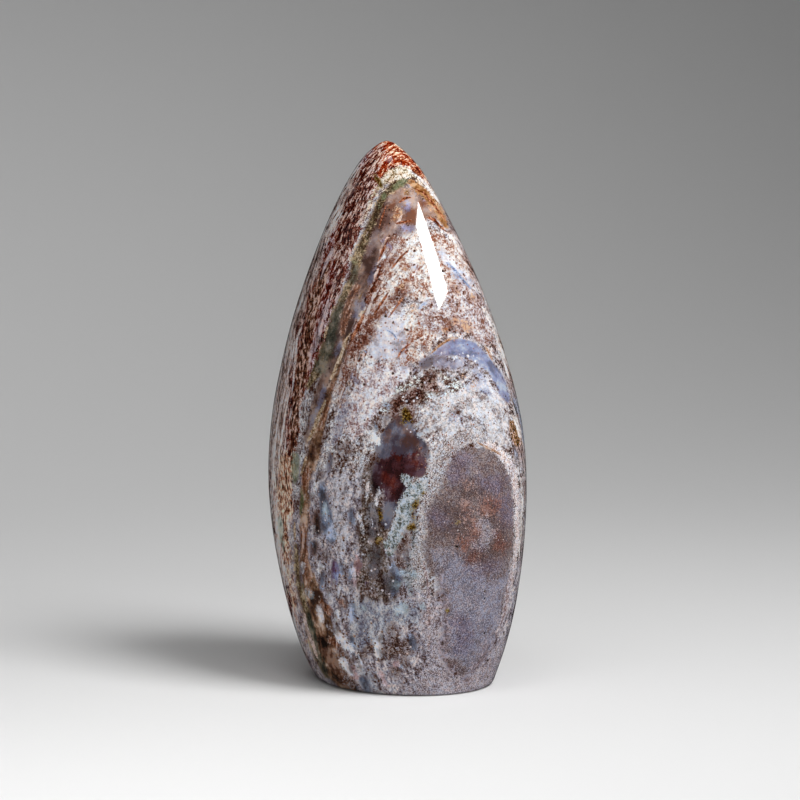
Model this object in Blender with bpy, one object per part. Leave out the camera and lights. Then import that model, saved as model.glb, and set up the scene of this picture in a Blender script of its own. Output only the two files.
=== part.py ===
"""Ocean jasper freeform: one polished stone, ground to a leaning flame shape on a flat sawn foot.

The stone stands on z = 0 with its visible face towards -Y, and is one solid with no other pieces.
Its left and right outlines, seen from the front, hold its shape. Every level section is a nearly
elliptical oval between them. The oval's depth is a share of its width, and it is turned a little, so
that its left end lies further back. Lengths are in metres.
"""

import math

import bmesh
import bpy

# Driving dimensions
HEIGHT = 0.180
BELLY_HALF_WIDTH = 0.043
DEPTH_SHARE = 0.86  # depth of the stone as a share of its width
FOOT_EDGE_RADIUS = 0.0009  # the sharp edge is only just broken by the polish

# The left and right outlines from the tip down to the foot, seen from the front:
# (share of the height, left and right edge as shares of the belly's half width)
OUTLINES = (
    (1.0000, -0.096, -0.096),
    (0.9965, -0.144, -0.047),
    (0.9880, -0.198, 0.006),
    (0.9720, -0.270, 0.079),
    (0.9460, -0.350, 0.172),
    (0.8960, -0.468, 0.298),
    (0.8180, -0.614, 0.468),
    (0.7060, -0.787, 0.675),
    (0.5960, -0.914, 0.832),
    (0.4850, -1.004, 0.945),
    (0.3720, -1.032, 0.981),
    (0.2600, -0.990, 0.963),
    (0.1500, -0.896, 0.904),
    (0.0720, -0.798, 0.828),
    (0.0280, -0.722, 0.768),
    (0.0000, -0.655, 0.728),
)

SECTION_POWER = 2.06  # 2 is an ellipse, and more is squarer
SECTION_TURN = -0.150  # how far a point lies back for each metre that it lies to the right
FOOT_DEPTH_GAIN = 0.10  # the foot is rounder in plan than the belly

# Broad flats left by the hand grinding:
# (bearing from the right side in degrees, share of the height, angular reach, height reach, depth)
GROUND_FLATS = (
    (205.0, 0.42, 26.0, 0.30, 0.0007),
    (-62.0, 0.55, 24.0, 0.26, 0.0005),
    (128.0, 0.60, 30.0, 0.28, 0.0009),
    (58.0, 0.34, 28.0, 0.30, 0.0008),
)

SEGMENTS_AROUND = 80
RINGS = 46
RINGS_IN_FOOT_EDGE = 3
RINGS_IN_SOLE = 2  # flat rings across the underside, besides its middle point

JASPER_COLOUR = (0.36, 0.27, 0.26, 1.0)
POLISH_ROUGHNESS = 0.12


def curve_point(before, start, end, after, share):
    """One point of a smooth curve that passes through start and end (Catmull-Rom)."""
    return tuple(
        0.5
        * (
            2 * b
            + (c - a) * share
            + (2 * a - 5 * b + 4 * c - d) * share**2
            + (3 * b - a - 3 * c + d) * share**3
        )
        for a, b, c, d in zip(before, start, end, after)
    )


def outline_at(share):
    """(height share, left, right) on the outlines, from the tip at 0 to the foot at 1."""
    tip, below_tip = OUTLINES[0], OUTLINES[1]
    over_the_tip = (below_tip[0], below_tip[2], below_tip[1])
    foot, above_foot = OUTLINES[-1], OUTLINES[-2]
    under_the_foot = tuple(2 * f - a for f, a in zip(foot, above_foot))
    stations = (over_the_tip, tip, *OUTLINES[1:], under_the_foot)
    place = share * (len(OUTLINES) - 1)
    first = min(int(place), len(OUTLINES) - 2)
    return curve_point(*stations[first : first + 4], place - first)


def flat_depth(bearing, height_share):
    """How far the broad ground flats lie below the plain oval here."""
    total = 0.0
    for flat_bearing, flat_height, reach, height_reach, depth in GROUND_FLATS:
        away = (bearing - flat_bearing + 180.0) % 360.0 - 180.0
        up = height_share - flat_height
        total += depth * math.exp(-((away / reach) ** 2) - (up / height_reach) ** 2)
    return total


def rounded(value):
    """A cosine or sine, pushed outwards so that the oval is slightly squared."""
    return math.copysign(abs(value) ** (2 / SECTION_POWER), value)


def section_point(height_share, left, right, angle, inset=0.0):
    """A point of the level section at this height, moved inwards by inset."""
    half_width = max(BELLY_HALF_WIDTH * (right - left) / 2 - inset, 0.0)
    middle = BELLY_HALF_WIDTH * (right + left) / 2
    depth_share = DEPTH_SHARE + FOOT_DEPTH_GAIN * (1 - height_share) ** 4
    across, back = rounded(math.cos(angle)), rounded(math.sin(angle))
    flat = flat_depth(math.degrees(angle), height_share) * min(1.0, half_width / BELLY_HALF_WIDTH)
    x = (half_width - flat) * across
    y = (half_width * depth_share - flat) * back + SECTION_TURN * x
    return middle + x, y, height_share * HEIGHT


def ring_place(ring):
    """(share down the outlines, inset of the section, height of the ring, None on the outlines)."""
    rings_on_side = RINGS - RINGS_IN_FOOT_EDGE - RINGS_IN_SOLE - 1
    if ring <= rings_on_side:
        foot_cut = FOOT_EDGE_RADIUS / HEIGHT / OUTLINES[-2][0] / (len(OUTLINES) - 1)
        return ring / rings_on_side * (1 - foot_cut), 0.0, None
    step = ring - rings_on_side
    if step <= RINGS_IN_FOOT_EDGE:
        turn = math.pi / 2 * step / RINGS_IN_FOOT_EDGE
        rise = FOOT_EDGE_RADIUS * (1 - math.sin(turn))
        return 1.0, FOOT_EDGE_RADIUS * (1 - math.cos(turn)), rise
    inwards = (step - RINGS_IN_FOOT_EDGE) / (RINGS_IN_SOLE + 1)
    foot_half_width = BELLY_HALF_WIDTH * (OUTLINES[-1][2] - OUTLINES[-1][1]) / 2
    inset = FOOT_EDGE_RADIUS + (foot_half_width - FOOT_EDGE_RADIUS) * inwards
    return 1.0, inset, 0.0


def shape_stone(mesh):
    """Moves the vertices of a ball onto the stone, ring by ring from the tip to the sole."""
    for vertex in mesh.verts:
        x, y, z = vertex.co
        ring = round(math.acos(max(-1.0, min(1.0, z))) / math.pi * RINGS)
        angle = math.atan2(y, x)
        down, inset, height = ring_place(ring)
        height_share, left, right = outline_at(down)
        vertex.co = section_point(height_share, left, right, angle, inset)
        if height is not None:
            vertex.co.z = height


def centre_on_foot_plane(mesh):
    """Puts the middle of the stone's bounding box over the origin, seen from above."""
    for axis in (0, 1):
        values = [vertex.co[axis] for vertex in mesh.verts]
        middle = (min(values) + max(values)) / 2
        for vertex in mesh.verts:
            vertex.co[axis] -= middle


def jasper_material():
    material = bpy.data.materials.new("polished_ocean_jasper")
    material.use_nodes = True
    surface = material.node_tree.nodes["Principled BSDF"]
    surface.inputs["Base Color"].default_value = JASPER_COLOUR
    surface.inputs["Roughness"].default_value = POLISH_ROUGHNESS
    surface.inputs["Metallic"].default_value = 0.0
    material.diffuse_color = JASPER_COLOUR
    return material


def make_stone(collection):
    shape = bmesh.new()
    bmesh.ops.create_uvsphere(
        shape, u_segments=SEGMENTS_AROUND, v_segments=RINGS, radius=1.0
    )
    shape_stone(shape)
    centre_on_foot_plane(shape)
    bmesh.ops.recalc_face_normals(shape, faces=shape.faces)
    data = bpy.data.meshes.new("jasper_stone")
    shape.to_mesh(data)
    shape.free()
    data.shade_smooth()
    data.set_sharp_from_angle(angle=math.radians(40))
    data.materials.append(jasper_material())
    stone = bpy.data.objects.new("jasper_stone", data)
    collection.objects.link(stone)
    return stone


def main():
    for obj in list(bpy.data.objects):
        bpy.data.objects.remove(obj)
    collection = bpy.data.collections.new("ocean_jasper_freeform")
    bpy.context.scene.collection.children.link(collection)
    make_stone(collection)


main()
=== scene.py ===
# %% [markdown]
# An ocean jasper freeform is one lump of orbicular chalcedony. It was sawn flat underneath, ground to a
# leaning flame on a coarse wheel, and then polished through finer and finer grits until it shone.
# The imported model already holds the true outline, so this lesson starts from it. What is left is the
# stone's skin: a mesh fine enough to carry the pattern, the pattern itself, and a small photo studio.

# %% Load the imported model
import math

import bmesh
import bpy
import numpy as np
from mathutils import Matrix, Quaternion, Vector, noise


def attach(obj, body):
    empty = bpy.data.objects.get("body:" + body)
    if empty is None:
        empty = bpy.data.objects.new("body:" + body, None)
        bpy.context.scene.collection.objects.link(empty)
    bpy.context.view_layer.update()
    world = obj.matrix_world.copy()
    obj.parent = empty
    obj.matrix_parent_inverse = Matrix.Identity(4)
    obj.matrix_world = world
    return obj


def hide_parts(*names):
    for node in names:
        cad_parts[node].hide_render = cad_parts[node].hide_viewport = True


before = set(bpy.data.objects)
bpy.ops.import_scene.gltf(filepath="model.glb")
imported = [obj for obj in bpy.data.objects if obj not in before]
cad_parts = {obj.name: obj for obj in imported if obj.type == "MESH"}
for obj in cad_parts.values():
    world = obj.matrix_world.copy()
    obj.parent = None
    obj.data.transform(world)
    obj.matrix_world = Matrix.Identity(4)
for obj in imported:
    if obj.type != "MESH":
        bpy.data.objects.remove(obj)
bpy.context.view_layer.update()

MM = 0.001

# %% [markdown]
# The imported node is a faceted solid, and a mirror polish would show every facet. It could be hidden with
# smooth shading alone, but the outline would stay angular. Here a copy is merged, its triangles are
# paired back into four-sided faces, and a Subdivision Surface rounds it. Two levels put a point about
# every 0.9 mm, which is also close enough to carry the bands of the pattern.

# %% The polished skin
STONE_NODE = "jasper_stone"
MERGE_DISTANCE = 0.001 * MM
PAIR_BEND = math.radians(30)  # triangles that bend more than this aren't paired
PAIR_SKEW = math.radians(60)
SHARP_BEND = math.radians(40)
SKIN_LEVELS = 2


def smooth_skin(node, levels):
    """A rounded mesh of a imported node, with its place kept in the mesh."""
    copy = bmesh.new()
    copy.from_mesh(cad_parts[node].data)
    bmesh.ops.remove_doubles(copy, verts=copy.verts, dist=MERGE_DISTANCE)
    bmesh.ops.join_triangles(
        copy, faces=copy.faces, angle_face_threshold=PAIR_BEND, angle_shape_threshold=PAIR_SKEW
    )
    corners = [len(face.verts) for face in copy.faces]
    print("merged copy:", corners.count(4), "four-sided faces,", corners.count(3), "triangles")
    cage = bpy.data.meshes.new(node + "_cage")
    copy.to_mesh(cage)
    copy.free()
    holder = bpy.data.objects.new(node + "_cage", cage)
    bpy.context.scene.collection.objects.link(holder)
    rounding = holder.modifiers.new("rounding", "SUBSURF")
    rounding.levels = rounding.render_levels = levels
    graph = bpy.context.evaluated_depsgraph_get()
    skin = bpy.data.meshes.new_from_object(holder.evaluated_get(graph))
    bpy.data.objects.remove(holder)
    return skin


skin = smooth_skin(STONE_NODE, SKIN_LEVELS)
skin.shade_smooth()
skin.set_sharp_from_angle(angle=SHARP_BEND)
skin.name = "polished_jasper"
stone = bpy.data.objects.new("polished_jasper", skin)
bpy.context.scene.collection.objects.link(stone)
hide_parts(STONE_NODE)
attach(stone, "root")
print("skin:", len(skin.vertices), "points,", len(skin.polygons), "faces")

# %% [markdown]
# The camera comes early, because the pattern is laid out as the photograph shows it. A long lens from
# about 1.1 m away, looking slightly down, gives the flat product-photo view. The same numbers tell where
# each point of the skin is seen in the photograph's frame of 800 by 800 pixels.

# %% The camera
LENS = 150.0
SENSOR = 36.0
FRAME_PIXELS = 800
SIGHT_DOWN = math.radians(7.5)
SIGHT_DISTANCE = 1.105
AIM = Vector((0.0011, -0.0023, 0.0943))

sight = Vector((0.0, math.cos(SIGHT_DOWN), -math.sin(SIGHT_DOWN)))
eye_place = AIM - sight * SIGHT_DISTANCE
camera_data = bpy.data.cameras.new("camera")
camera_data.lens = LENS
camera_data.sensor_width = SENSOR
camera = bpy.data.objects.new("camera", camera_data)
camera.location = eye_place
camera.rotation_euler = (math.pi / 2 - SIGHT_DOWN, 0.0, 0.0)
bpy.context.scene.collection.objects.link(camera)
bpy.context.scene.camera = camera

PIXELS_PER_SLOPE = LENS / SENSOR * FRAME_PIXELS
MM_PER_PIXEL = SIGHT_DISTANCE / PIXELS_PER_SLOPE / MM
print("one pixel is", round(MM_PER_PIXEL, 3), "mm at the stone")

# %% [markdown]
# Every colour here is written as an sRGB hex value, the way a paint program shows it, and one function
# turns it to the linear values that Blender works in. Another small function adds a node, fills in its
# settings, and wires up its inputs. The whole material is built with that one.

# %% Colour and node helpers
def linear(hex_colour):
    """An sRGB colour such as "#8A2B1C" as linear red, green, blue and alpha."""
    parts = [int(hex_colour[i : i + 2], 16) / 255 for i in (1, 3, 5)]
    return [p / 12.92 if p <= 0.04045 else ((p + 0.055) / 1.055) ** 2.4 for p in parts] + [1.0]


def add(tree, kind, inputs=None, stops=None, **settings):
    """Adds a node. inputs maps its sockets to values or to other nodes' outputs; stops fills a ramp."""
    node = tree.nodes.new(kind)
    for name, value in settings.items():
        setattr(node, name, value)
    for key, value in (inputs or {}).items():
        if isinstance(value, bpy.types.NodeSocket):
            tree.links.new(value, node.inputs[key])
        else:
            node.inputs[key].default_value = value
    if stops:
        ramp = node.color_ramp
        while len(ramp.elements) < len(stops):
            ramp.elements.new(1.0)
        for element, (place, colour) in zip(ramp.elements, stops):
            element.position = place
            element.color = colour
    return node


# %% [markdown]
# Ocean jasper grew in shells. Silica gelled layer upon layer around many centres, and the saw cut
# through the shells wherever it went. The large purple eye at the lower right of the face is the middle
# of one such nest. Each shell here is an egg-shaped surface, tall and narrow, and its level is how far
# it lies from the eye, in millimetres along the left. Solving for the level at a point is a search by
# halves: is the point inside this shell or outside? Because the shells are solid, the bands run on
# round the sides and the back of their own accord.

# %% Growth shells
# (level, half width, half depth, half height, middle across, middle back, middle up), in mm
SHELLS = np.array(
    [
        (0.0, 0.5, 0.5, 1.0, 26.5, -34.0, 42.0),
        (17.0, 16.5, 20.0, 40.0, 26.0, -33.0, 42.0),
        (30.0, 28.5, 33.0, 63.0, 24.5, -30.0, 43.0),
        (37.0, 33.0, 38.0, 74.0, 22.0, -27.0, 43.0),
        (43.5, 38.0, 43.0, 91.0, 20.0, -23.0, 44.0),
        (50.0, 43.0, 48.0, 117.0, 18.0, -19.0, 44.0),
        (55.0, 43.5, 49.0, 128.0, 13.5, -15.0, 45.0),
        (57.5, 44.0, 50.0, 132.0, 11.5, -13.0, 45.0),
        (66.0, 48.0, 52.0, 140.0, 7.0, -10.0, 45.0),
        (130.0, 112.0, 116.0, 204.0, 7.0, -10.0, 45.0),
    ]
)
HALVINGS = 26
BROAD_FOLDS = (26.0, 2.4, 1.7)  # a size and a reach in mm, and a shift of the noise
FINE_FOLDS = (9.0, 0.9, 5.1)
DRIFT_SEED = 11  # without one, the drift would differ on every run
noise.seed_set(DRIFT_SEED)


def shell_levels(points):
    """The level of the shell through each point, for points in mm."""
    low = np.zeros(len(points))
    high = np.full(len(points), SHELLS[-1, 0])
    for _ in range(HALVINGS):
        middle = (low + high) / 2
        shape = [np.interp(middle, SHELLS[:, 0], SHELLS[:, column]) for column in range(1, 7)]
        reach = sum(((points[:, i] - shape[3 + i]) / shape[i]) ** 2 for i in range(3))
        inside = reach < 1
        high = np.where(inside, middle, high)
        low = np.where(inside, low, middle)
    return (low + high) / 2


def wander(points, size, reach, shift):
    """A smooth random drift of each point: about reach mm far, changing over size mm."""
    offset = Vector((shift, -2.0 * shift, 3.0 * shift))
    return np.array([noise.noise_vector(Vector(p) / size + offset) for p in points]) * reach


def read_points(mesh, what):
    """The places or the normals of a mesh's points as rows of x, y and z."""
    values = np.empty(len(mesh.vertices) * 3)
    mesh.vertices.foreach_get(what, values)
    return values.reshape(-1, 3)


places = read_points(skin, "co") / MM
normals = read_points(skin, "normal")
folds = wander(places, *BROAD_FOLDS) + wander(places, *FINE_FOLDS)
levels = shell_levels(places + folds)
print("shell levels, in mm:", round(levels.min(), 1), "to", round(levels.max(), 1))

# %% [markdown]
# The bands, patches and lines of the photographed face are laid on one by one, like a map. A mark is
# either a stroke, a list of (across, down, half width) along its middle, or an area, a list of
# (across, down) round its edge. Both are in pixels of the photograph. For each layer of the pattern the
# skin stores one number a point: how far it lies inside the layer's edge, in millimetres. Where the skin
# turns away from the photographed face, the number comes from the shell levels instead.
# A layer has five tones, from its darkest grains to its lightest, as they look under the lights. The
# light is weaker on the left than on the right, so each layer also says how strongly it is lit, as
# measured on a plain grey stone in the same studio. The stone's own colour is the seen one divided by
# that. A line finer than the skin's points lie apart would break up, so it stores two numbers: how far
# to its left or right a point lies, and the half width of the line there.

# %% Marks on the photographed face
LIMIT = 6.0  # mm; further in or out than this makes no difference
LINE_REACH = 6.5  # pixels; a fine line is forgotten beyond this
LINE_FADE = 3.0  # how fast its room shrinks from there
TURN_START, TURN_END = 0.06, -0.22  # how squarely the skin faces the camera where the face starts to end
HAND_TREMBLE = (7.0, 0.45, 9.3)  # a size and a reach in mm, and a shift of the noise
TONE_PLACES = (0.10, 0.31, 0.50, 0.69, 0.90)  # from the darkest twentieth of a noise to the lightest
LIGHTEST = 0.86  # no stone sends back more light than this


def seen_place(points):
    """Where each point, in mm, is seen in the photograph's frame: across and down, in pixels."""
    away = points * MM - np.array(eye_place)
    up = np.array((0.0, math.sin(SIGHT_DOWN), math.cos(SIGHT_DOWN)))
    depth = away @ np.array(sight)
    across = FRAME_PIXELS / 2 + PIXELS_PER_SLOPE * away[:, 0] / depth
    down = FRAME_PIXELS / 2 - PIXELS_PER_SLOPE * (away @ up) / depth
    return np.stack([across, down], axis=1)


def along(seen, start, end):
    """For each seen place: its nearest share of the way from start to end, and its distance there."""
    start, end = np.array(start, float), np.array(end, float)
    run = end - start
    share = np.clip((seen - start) @ run / max(run @ run, 1e-9), 0.0, 1.0)
    return share, np.linalg.norm(seen - start - share[:, None] * run, axis=1)


def inside_stroke(seen, stroke):
    """How far inside a stroke each place lies, in pixels; negative is outside."""
    best = np.full(len(seen), -np.inf)
    ends = list(zip(stroke, stroke[1:])) or [(stroke[0], stroke[0])]
    for (x0, y0, r0), (x1, y1, r1) in ends:
        share, distance = along(seen, (x0, y0), (x1, y1))
        best = np.maximum(best, r0 + (r1 - r0) * share - distance)
    return best


def inside_area(seen, corners):
    """How far inside an outlined area each place lies, in pixels; negative is outside."""
    nearest = np.full(len(seen), np.inf)
    crossings = np.zeros(len(seen), int)
    for (x0, y0), (x1, y1) in zip(corners, corners[1:] + corners[:1]):
        nearest = np.minimum(nearest, along(seen, (x0, y0), (x1, y1))[1])
        level_with = (y0 > seen[:, 1]) != (y1 > seen[:, 1])
        edge = x0 + (seen[:, 1] - y0) * (x1 - x0) / (y1 - y0 if y1 != y0 else 1e-9)
        crossings += level_with & (seen[:, 0] < edge)
    return np.where(crossings % 2 == 1, nearest, -nearest)


seen = seen_place(places + wander(places, *HAND_TREMBLE))
to_eye = np.array(eye_place) / MM - places
facing = (normals * to_eye).sum(axis=1) / np.linalg.norm(to_eye, axis=1)
front = np.clip((facing - TURN_END) / (TURN_START - TURN_END), 0.0, 1.0)
layers = []


def own_tones(tones, lit):
    """Ramp stops with the stone's own colours, from five seen ones and the share of light there."""
    colours = [[min(value / lit, LIGHTEST) for value in linear(tone)[:3]] + [1.0] for tone in tones.split()]
    return list(zip(TONE_PLACES, colours))


def store(name, values):
    attribute = skin.attributes.new(name, "FLOAT", "POINT")
    attribute.data.foreach_set("value", np.ascontiguousarray(values, np.float32))


def note_layer(
    name, tones, lit, kind, grain="flecks", edge=None, ragged=0.8, soft=0.35, cover=1.0, scatter=None
):
    """Notes a layer's look: the noises of its tones and its edge, and how ragged and soft that is in mm."""
    layers.append(
        {
            "name": name, "tones": own_tones(tones, lit), "kind": kind,
            "grain": grain, "edge": edge or grain, "ragged": ragged, "soft": soft,
            "cover": cover, "scatter": scatter,
        }
    )


def layer(name, tones, lit, strokes=(), areas=(), shells=(), **look):
    """Adds a layer of patches. The skin stores how far inside them each of its points lies, in mm."""
    on_face = np.full(len(seen), -LIMIT)
    for stroke in strokes:
        on_face = np.maximum(on_face, inside_stroke(seen, stroke) * MM_PER_PIXEL)
    for corners in areas:
        on_face = np.maximum(on_face, inside_area(seen, corners) * MM_PER_PIXEL)
    round_back = np.full(len(seen), -LIMIT)
    for low, high in shells:
        round_back = np.maximum(round_back, np.minimum(levels - low, high - levels))
    inside = front * np.clip(on_face, -LIMIT, LIMIT)
    inside += (1 - front) * np.clip(round_back, -LIMIT, LIMIT)
    store(name, inside)
    note_layer(name, tones, lit, "patches", **look)


def fine_lines(name, tones, lit, strokes):
    """Adds a layer of lines, each a stroke. Half way between two near ones, nothing of either is left."""
    nearest = np.full(len(seen), np.inf)
    next_nearest = np.full(len(seen), np.inf)
    side = np.zeros(len(seen))
    room = np.zeros(len(seen))
    for stroke in strokes:
        before = nearest
        to_stroke = np.full(len(seen), np.inf)
        for (x0, y0, r0), (x1, y1, r1) in zip(stroke, stroke[1:]):
            share, distance = along(seen, (x0, y0), (x1, y1))
            length = math.hypot(x1 - x0, y1 - y0)
            offset = ((seen[:, 0] - x0) * (y1 - y0) - (seen[:, 1] - y0) * (x1 - x0)) / length
            past_end = np.sqrt(np.maximum(distance**2 - offset**2, 0.0))
            closer = distance < nearest
            to_stroke = np.minimum(to_stroke, distance)
            nearest = np.where(closer, distance, nearest)
            side = np.where(closer, offset, side)
            room = np.where(closer, r0 + (r1 - r0) * share - past_end, room)
        next_nearest = np.minimum(next_nearest, np.maximum(before, to_stroke))
    room -= LINE_FADE * np.maximum(nearest - LINE_REACH, 0.0)
    room -= LINE_FADE * np.maximum(LINE_REACH - (next_nearest - nearest), 0.0)
    room = np.where(front > 0.5, room * MM_PER_PIXEL, -LIMIT)
    store(name, np.clip(side * MM_PER_PIXEL, -LIMIT, LIMIT))
    store(name + "_room", np.clip(room, -LIMIT, LIMIT))
    note_layer(name, tones, lit, "lines", grain="grains", ragged=0.12, soft=0.12)


store("shell_level", levels)

# %% [markdown]
# The ground of the pattern is the outermost shell: blood-red iron-stained flecks between flecks of
# white and lilac quartz, drawn out along the shells. A layer's tones are read off a noise: the first
# tone is where the noise is lowest, and the last where it is highest. Towards the edge of the stone the
# flecks turn grey and brown, with a nearly black line between.

# %% Outer shells
GROUND_TONES = own_tones("#330500 #5A1405 #773521 #A0868A #D8CACF", lit=0.80)
layer(
    "tip_rust", "#580D03 #881F03 #AB4519 #E0A983 #FFEFD8", lit=1.05,
    areas=[
        [
            (372, 130), (400, 130), (415, 156), (430, 178), (424, 184), (408, 168), (394, 168), (384, 180),
            (378, 182), (376, 170), (374, 155),
        ],
    ],
    edge="blotches", ragged=1.4, soft=0.5,
)
layer(
    "pale_margin", "#3E2D27 #64514B #7F6F6A #9E908C #CEC6C6", lit=0.45,
    strokes=[
        [
            (357, 168, 2), (345, 192, 3), (334, 217, 4), (324, 240, 5), (314, 265, 7), (304, 290, 7),
            (297, 318, 7), (291, 345, 7), (286, 370, 7), (282, 395, 8), (279, 420, 8), (277, 450, 8),
            (276, 480, 7), (277, 510, 6), (279, 540, 5), (283, 570, 4),
        ],
    ],
    grain="stripes", ragged=1.6, soft=0.5,
)
layer(
    "black_fleck_line", "#140403 #2D1409 #4E2D1C #745040 #A89187", lit=0.54,
    strokes=[
        [(328, 262, 3), (320, 282, 4), (314, 300, 5), (310, 320, 5), (306, 345, 5), (302, 368, 6)],
        [(302, 368, 6), (299, 385, 5), (296, 405, 5), (294, 425, 5), (293, 445, 4), (291, 455, 3)],
    ],
    grain="flecks", ragged=1.3, soft=0.3,
)
layer(
    "lilac_streaks", "#584646 #776567 #8D7C7E #A08F91 #B6A6A7", lit=0.61,
    strokes=[
        [(333, 248, 1.5), (325, 264, 2.5), (321, 276, 2)], [(346, 225, 1.5), (341, 240, 1.5)],
        [(329, 300, 2), (323, 316, 3), (318, 332, 3), (315, 345, 3.5), (311, 357, 2)],
        [(337, 272, 1.5), (333, 290, 2)], [(357, 184, 3), (352, 196, 1.5)],
    ],
    grain="stripes", ragged=0.8, soft=0.3,
)
layer(
    "rust_margin", "#1A0302 #3B0A03 #5F2413 #886351 #C7B2AA", lit=0.80,
    strokes=[
        [
            (382, 148, 3), (374, 164, 6), (366, 180, 10), (359, 198, 13), (353, 216, 11), (346, 236, 9),
            (340, 256, 6), (340, 276, 4), (334, 296, 4),
        ],
    ],
    grain="flecks", ragged=1.2, soft=0.4, cover=0.9,
)
layer(
    "brown_stipple", "#2F1309 #633A27 #885E48 #A78876 #C8B19F", lit=0.5,
    strokes=[
        [
            (286, 458, 5), (285, 480, 7), (285, 505, 8), (286, 530, 7), (289, 555, 7), (293, 580, 7),
            (297, 600, 6), (302, 622, 5), (308, 640, 5), (314, 655, 4), (320, 668, 3), (327, 678, 2),
        ],
    ],
    grain="flecks", ragged=0.9, soft=0.3,
)
layer(
    "pink_margin", "#806460 #9E8480 #B59D95 #C8B1B0 #E0CDCE", lit=0.44,
    strokes=[
        [(273, 470, 1.5), (275, 500, 2.5), (277, 530, 2.5), (281, 556, 3), (286, 585, 1.5)],
        [(294, 610, 2), (301, 635, 2.5), (309, 655, 2)],
        [(290, 515, 1.5), (291, 532, 2.5), (292, 542, 1.5)],
    ],
    grain="stripes", ragged=0.6, soft=0.4,
)
layer(
    "black_green_streaks", "#272D2B #3E453E #565C54 #757A6F #A2A297", lit=0.55,
    strokes=[
        [(279, 516, 1.5), (281, 530, 1.8), (282, 544, 1.5), (285, 552, 1)],
        [(306, 430, 1.5), (303, 440, 2.2), (300, 452, 2.2), (298, 464, 1.2)],
        [(292, 560, 1.2), (296, 572, 1.2)], [(305, 470, 1), (301, 484, 1.4), (299, 500, 1)],
    ],
    grain="stripes", ragged=0.5, soft=0.3,
)

# %% [markdown]
# Inside the outer shells lies the body of the face: a mottled field of white and grey quartz, peppered
# with rust. It is one large area, and everything further in is laid on top of it.

# %% The mottled field
FACE_EDGE = [
    (383, 182), (390, 172), (400, 166), (411, 169), (420, 176), (429, 186), (437, 198), (447, 213),
    (459, 236), (480, 236), (560, 330), (560, 640), (510, 720), (330, 720), (332, 683), (325, 668),
    (318, 653), (312, 636), (306, 618), (301, 598), (298, 578), (296, 556), (294, 530), (292, 500),
    (292, 475), (295, 452), (299, 430), (301, 405), (306, 388), (314, 366), (320, 350), (326, 332),
    (333, 312), (341, 290), (349, 266), (355, 248), (361, 230), (366, 215), (371, 202), (377, 191),
]
layer(
    "mottled_field", "#3C2218 #76625D #989397 #B9B6BA #E7E8E8", lit=0.86,
    areas=[FACE_EDGE], shells=((0.0, 55.5),), grain="mottle", ragged=0.7, soft=0.25,
)
layer(
    "upper_white", "#8A5038 #B89C90 #D8CEC8 #E8E4E0 #FFFFFF", lit=1.06,
    areas=[
        [
            (400, 232), (416, 228), (440, 232), (460, 240), (482, 286), (466, 292), (440, 296), (418, 300),
            (404, 296), (392, 304), (384, 318), (372, 330), (362, 344), (352, 360), (344, 380), (352, 330),
            (372, 300), (384, 268), (392, 248),
        ],
        [(415, 300), (440, 330), (430, 352), (400, 372), (380, 372), (400, 330)],
    ],
    grain="mottle", edge="blotches", ragged=1.4, soft=0.5,
)
layer(
    "white_heart", "#988F95 #C2BEC9 #D0CED7 #DAD9E1 #EBEBEF", lit=0.97,
    areas=[
        [
            (401, 300), (404, 318), (404, 334), (410, 344), (404, 358), (392, 362), (376, 358), (362, 358),
            (364, 346), (372, 336), (376, 322), (384, 310), (392, 303),
        ],
        [(412, 256), (417, 258), (417, 276), (412, 280)],
        [(398, 366), (412, 366), (412, 375), (404, 378), (396, 374)],
    ],
    grain="blotches", edge="grains", ragged=0.8, soft=0.4,
)
layer(
    "pink_white_field", "#7F5E5E #B0A2A4 #C6C0C4 #D7D3D7 #EDEBEF", lit=0.86,
    areas=[
        [
            (360, 366), (376, 360), (396, 366), (404, 380), (396, 392), (384, 404), (376, 420), (366, 440),
            (352, 440), (342, 432), (346, 410), (352, 390),
        ],
    ],
    grain="mottle", edge="blotches", ragged=1.6, soft=0.8,
)
layer(
    "blue_white_streaks", "#7880A0 #A8AEC6 #C4C8DA #DCDEEA #F4F4FA", lit=1.15,
    strokes=[
        [(441, 254, 3), (450, 264, 3), (458, 276, 3), (468, 288, 2)], [(462, 272, 2), (474, 286, 3)],
        [(470, 388, 5), (484, 388, 7), (492, 396, 5)], [(478, 372, 4), (492, 392, 3)],
        [(448, 416, 5), (458, 420, 5)], [(492, 412, 5), (500, 420, 6)],
    ],
    grain="blotches", edge="mottle", ragged=1.6, soft=0.7, cover=0.85,
)
layer(
    "lilac_field", "#47373D #6B626E #7E7884 #8D8994 #A3A0A8", lit=0.71,
    strokes=[
        [(346, 408, 5), (342, 420, 4), (336, 432, 3), (331, 446, 3)], [(352, 372, 3), (356, 382, 3)],
        [(336, 470, 3), (338, 480, 4), (344, 490, 4), (346, 500, 3)], [(342, 394, 3)],
        [(352, 512, 3), (352, 524, 4), (350, 538, 3)], [(364, 546, 3), (367, 556, 2)],
    ],
    grain="mottle", edge="blotches", ragged=1.4, soft=0.6,
)
layer(
    "lower_grey", "#412F29 #6C6269 #847E87 #9D989F #C5BEBD", lit=0.69,
    areas=[
        [
            (300, 470), (352, 470), (372, 500), (392, 540), (420, 590), (450, 600), (520, 560), (560, 600),
            (510, 720), (330, 720), (300, 640), (290, 560),
        ],
    ],
    grain="mottle", edge="blotches", ragged=2.2, soft=1.6, cover=0.9,
)
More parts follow.
